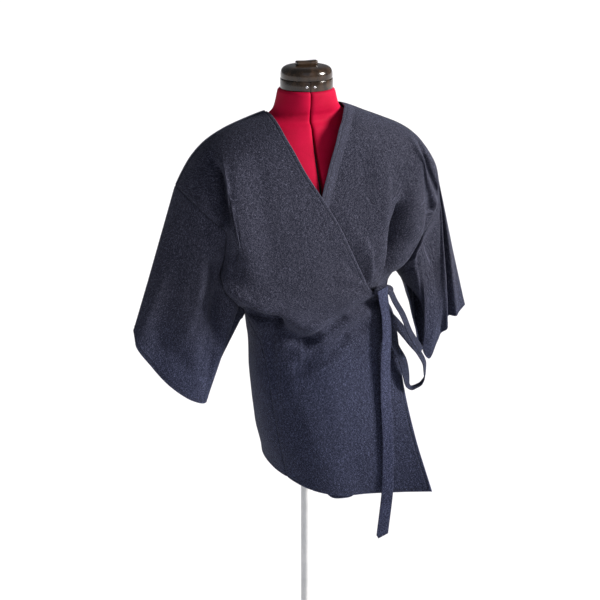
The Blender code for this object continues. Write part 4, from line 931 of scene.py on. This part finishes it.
# the grip bar: a rounded oblong, a superellipse in plan and in section
def makeGrip():
    bottom = neck["top"] + capProfile[-1][1] + 0.3
    turn = np.linspace(0, 2 * np.pi, 65)[None, :]
    rise = np.array([0, 0, 0.12, 0.3, 0.6, 0.8, 0.92, 0.98, 1, 1])[:, None]
    size = np.array([0.01, 0.93, 0.98, 1.0, 1.0, 0.985, 0.95, 0.9, 0.82, 0.01])[:, None]
    x = grip["length"] / 2 * size**0.5 * signedPower(np.cos(turn), 0.35)
    y = grip["width"] / 2 * size * signedPower(np.sin(turn), 0.35)
    dip = bell(x, 14) * (rise > 0.9)
    points = np.stack([x, y, bottom + grip["height"] * rise - dip + 0 * x], axis=-1)
    makeSurface("gripBar", points, smoked, "cap_grip")


makeGrip()


# round screw heads: a dome with a cross cut into it
def makeScrews():
    radius, lift = (np.array([row[k] for row in screwProfile])[:, None] for k in (0, 1))
    for number, angle in enumerate(neck["screws"], 1):
        turn = math.radians(neck["split"] + angle)
        out = np.array([math.sin(turn), -math.cos(turn), 0.0])
        side = np.array([math.cos(turn), math.sin(turn), 0.0])
        centre = out * (neck["radius"] + 0.3) + np.array([0, 0, (neck["base"] + neck["top"]) / 2])
        spin = np.linspace(0, 2 * np.pi, 33)[None, :]
        u, v = radius * np.cos(spin), radius * np.sin(spin)
        cut = 0.5 * np.maximum(bell(u, 0.35), bell(v, 0.35)) * (radius < 2.2)
        points = (centre + out * (lift - cut)[..., None] + side * u[..., None]
                  + np.array([0.0, 0.0, 1.0]) * v[..., None])
        makeSurface("screw" + str(number), points, bright, "ring_screw_" + str(number))


makeScrews()
turned("standBase", baseProfile, 128, paint, "base")
turned("standPole", poleProfile, 64, paint, "pole")
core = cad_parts["form_core"]  # the CAD's own solid shows through the gap
core.data.materials.clear()
core.data.materials.append(dull)
print("form and stand made")

# the floor's half side in metres, the backdrop, and the camera in metres, degrees and pixels; for each lamp
# where it shines from, its power, its spread in degrees, its colour, and whether it mirrors in glossy
# surfaces
lamps = dict(keyLight=((0.82, -0.50, 0.36), 7.0, 18, "#fffaf5", True),
             fillLight=((-0.2, -0.9, 0.5), 0.25, 50, "#dfe6ff", True),
             backLight=((0.62, 0.74, 0.27), 3.0, 34, "#eef2ff", False))
studio = dict(floorHalf=40, floor="#f7f7f8", sky="#f3f6ff", ambient=0.2, backdrop=0.8)
view = dict(azimuth=-20.0, distance=2.8, eye=1.90, pitch=18.9, focal=1377.0, centreX=306.5, size=600.0)

half = studio["floorHalf"]
mesh = bpy.data.meshes.new("studioFloor")
mesh.from_pydata([(x, y, -0.0005) for x, y in ((-half, -half), (half, -half), (half, half), (-half, half))],
                 [], [(0, 1, 2, 3)])
paper = newMaterial("paleFloor")
fillInputs(paper[2], {"Base Color": linear(studio["floor"]), "Roughness": 0.9})
mesh.materials.append(paper[0])
floor = place("studioFloor", mesh)

for name, (towards, power, spread, colour, mirrored) in lamps.items():
    light = bpy.data.lights.new(name, "SUN")
    light.energy, light.angle, light.color = power, math.radians(spread), linear(colour)[:3]
    lamp = place(name, light)
    lamp.rotation_euler = mathutils.Vector(towards).to_track_quat("Z", "Y").to_euler()
    lamp.visible_glossy = mirrored

world = bpy.data.worlds.new("studioWorld")
bpy.context.scene.world = world
world.use_nodes = True
ambient = world.node_tree.nodes["Background"]
# a paler backdrop where the camera looks past the floor, with the same soft light on everything
seen = addNode(world.node_tree, "LightPath")["Is Camera Ray"]
strength = addNode(world.node_tree, "Math", seen, studio["backdrop"], studio["ambient"],
                   operation="MULTIPLY_ADD")[0]
fillInputs(ambient, (linear(studio["sky"]), strength))
bpy.context.scene.view_settings.view_transform = "Standard"

lens = bpy.data.cameras.new("photoCamera")
lens.sensor_width = 36.0
lens.lens = 36.0 * view["focal"] / view["size"]
lens.shift_x = -(view["centreX"] - view["size"] / 2) / view["size"]
camera = place("photoCamera", lens)
azimuth = math.radians(view["azimuth"])
camera.location = (view["distance"] * math.sin(azimuth), -view["distance"] * math.cos(azimuth), view["eye"])
camera.rotation_euler = (math.radians(90 - view["pitch"]), 0.0, azimuth)
bpy.context.scene.camera = camera
print("scene ready")
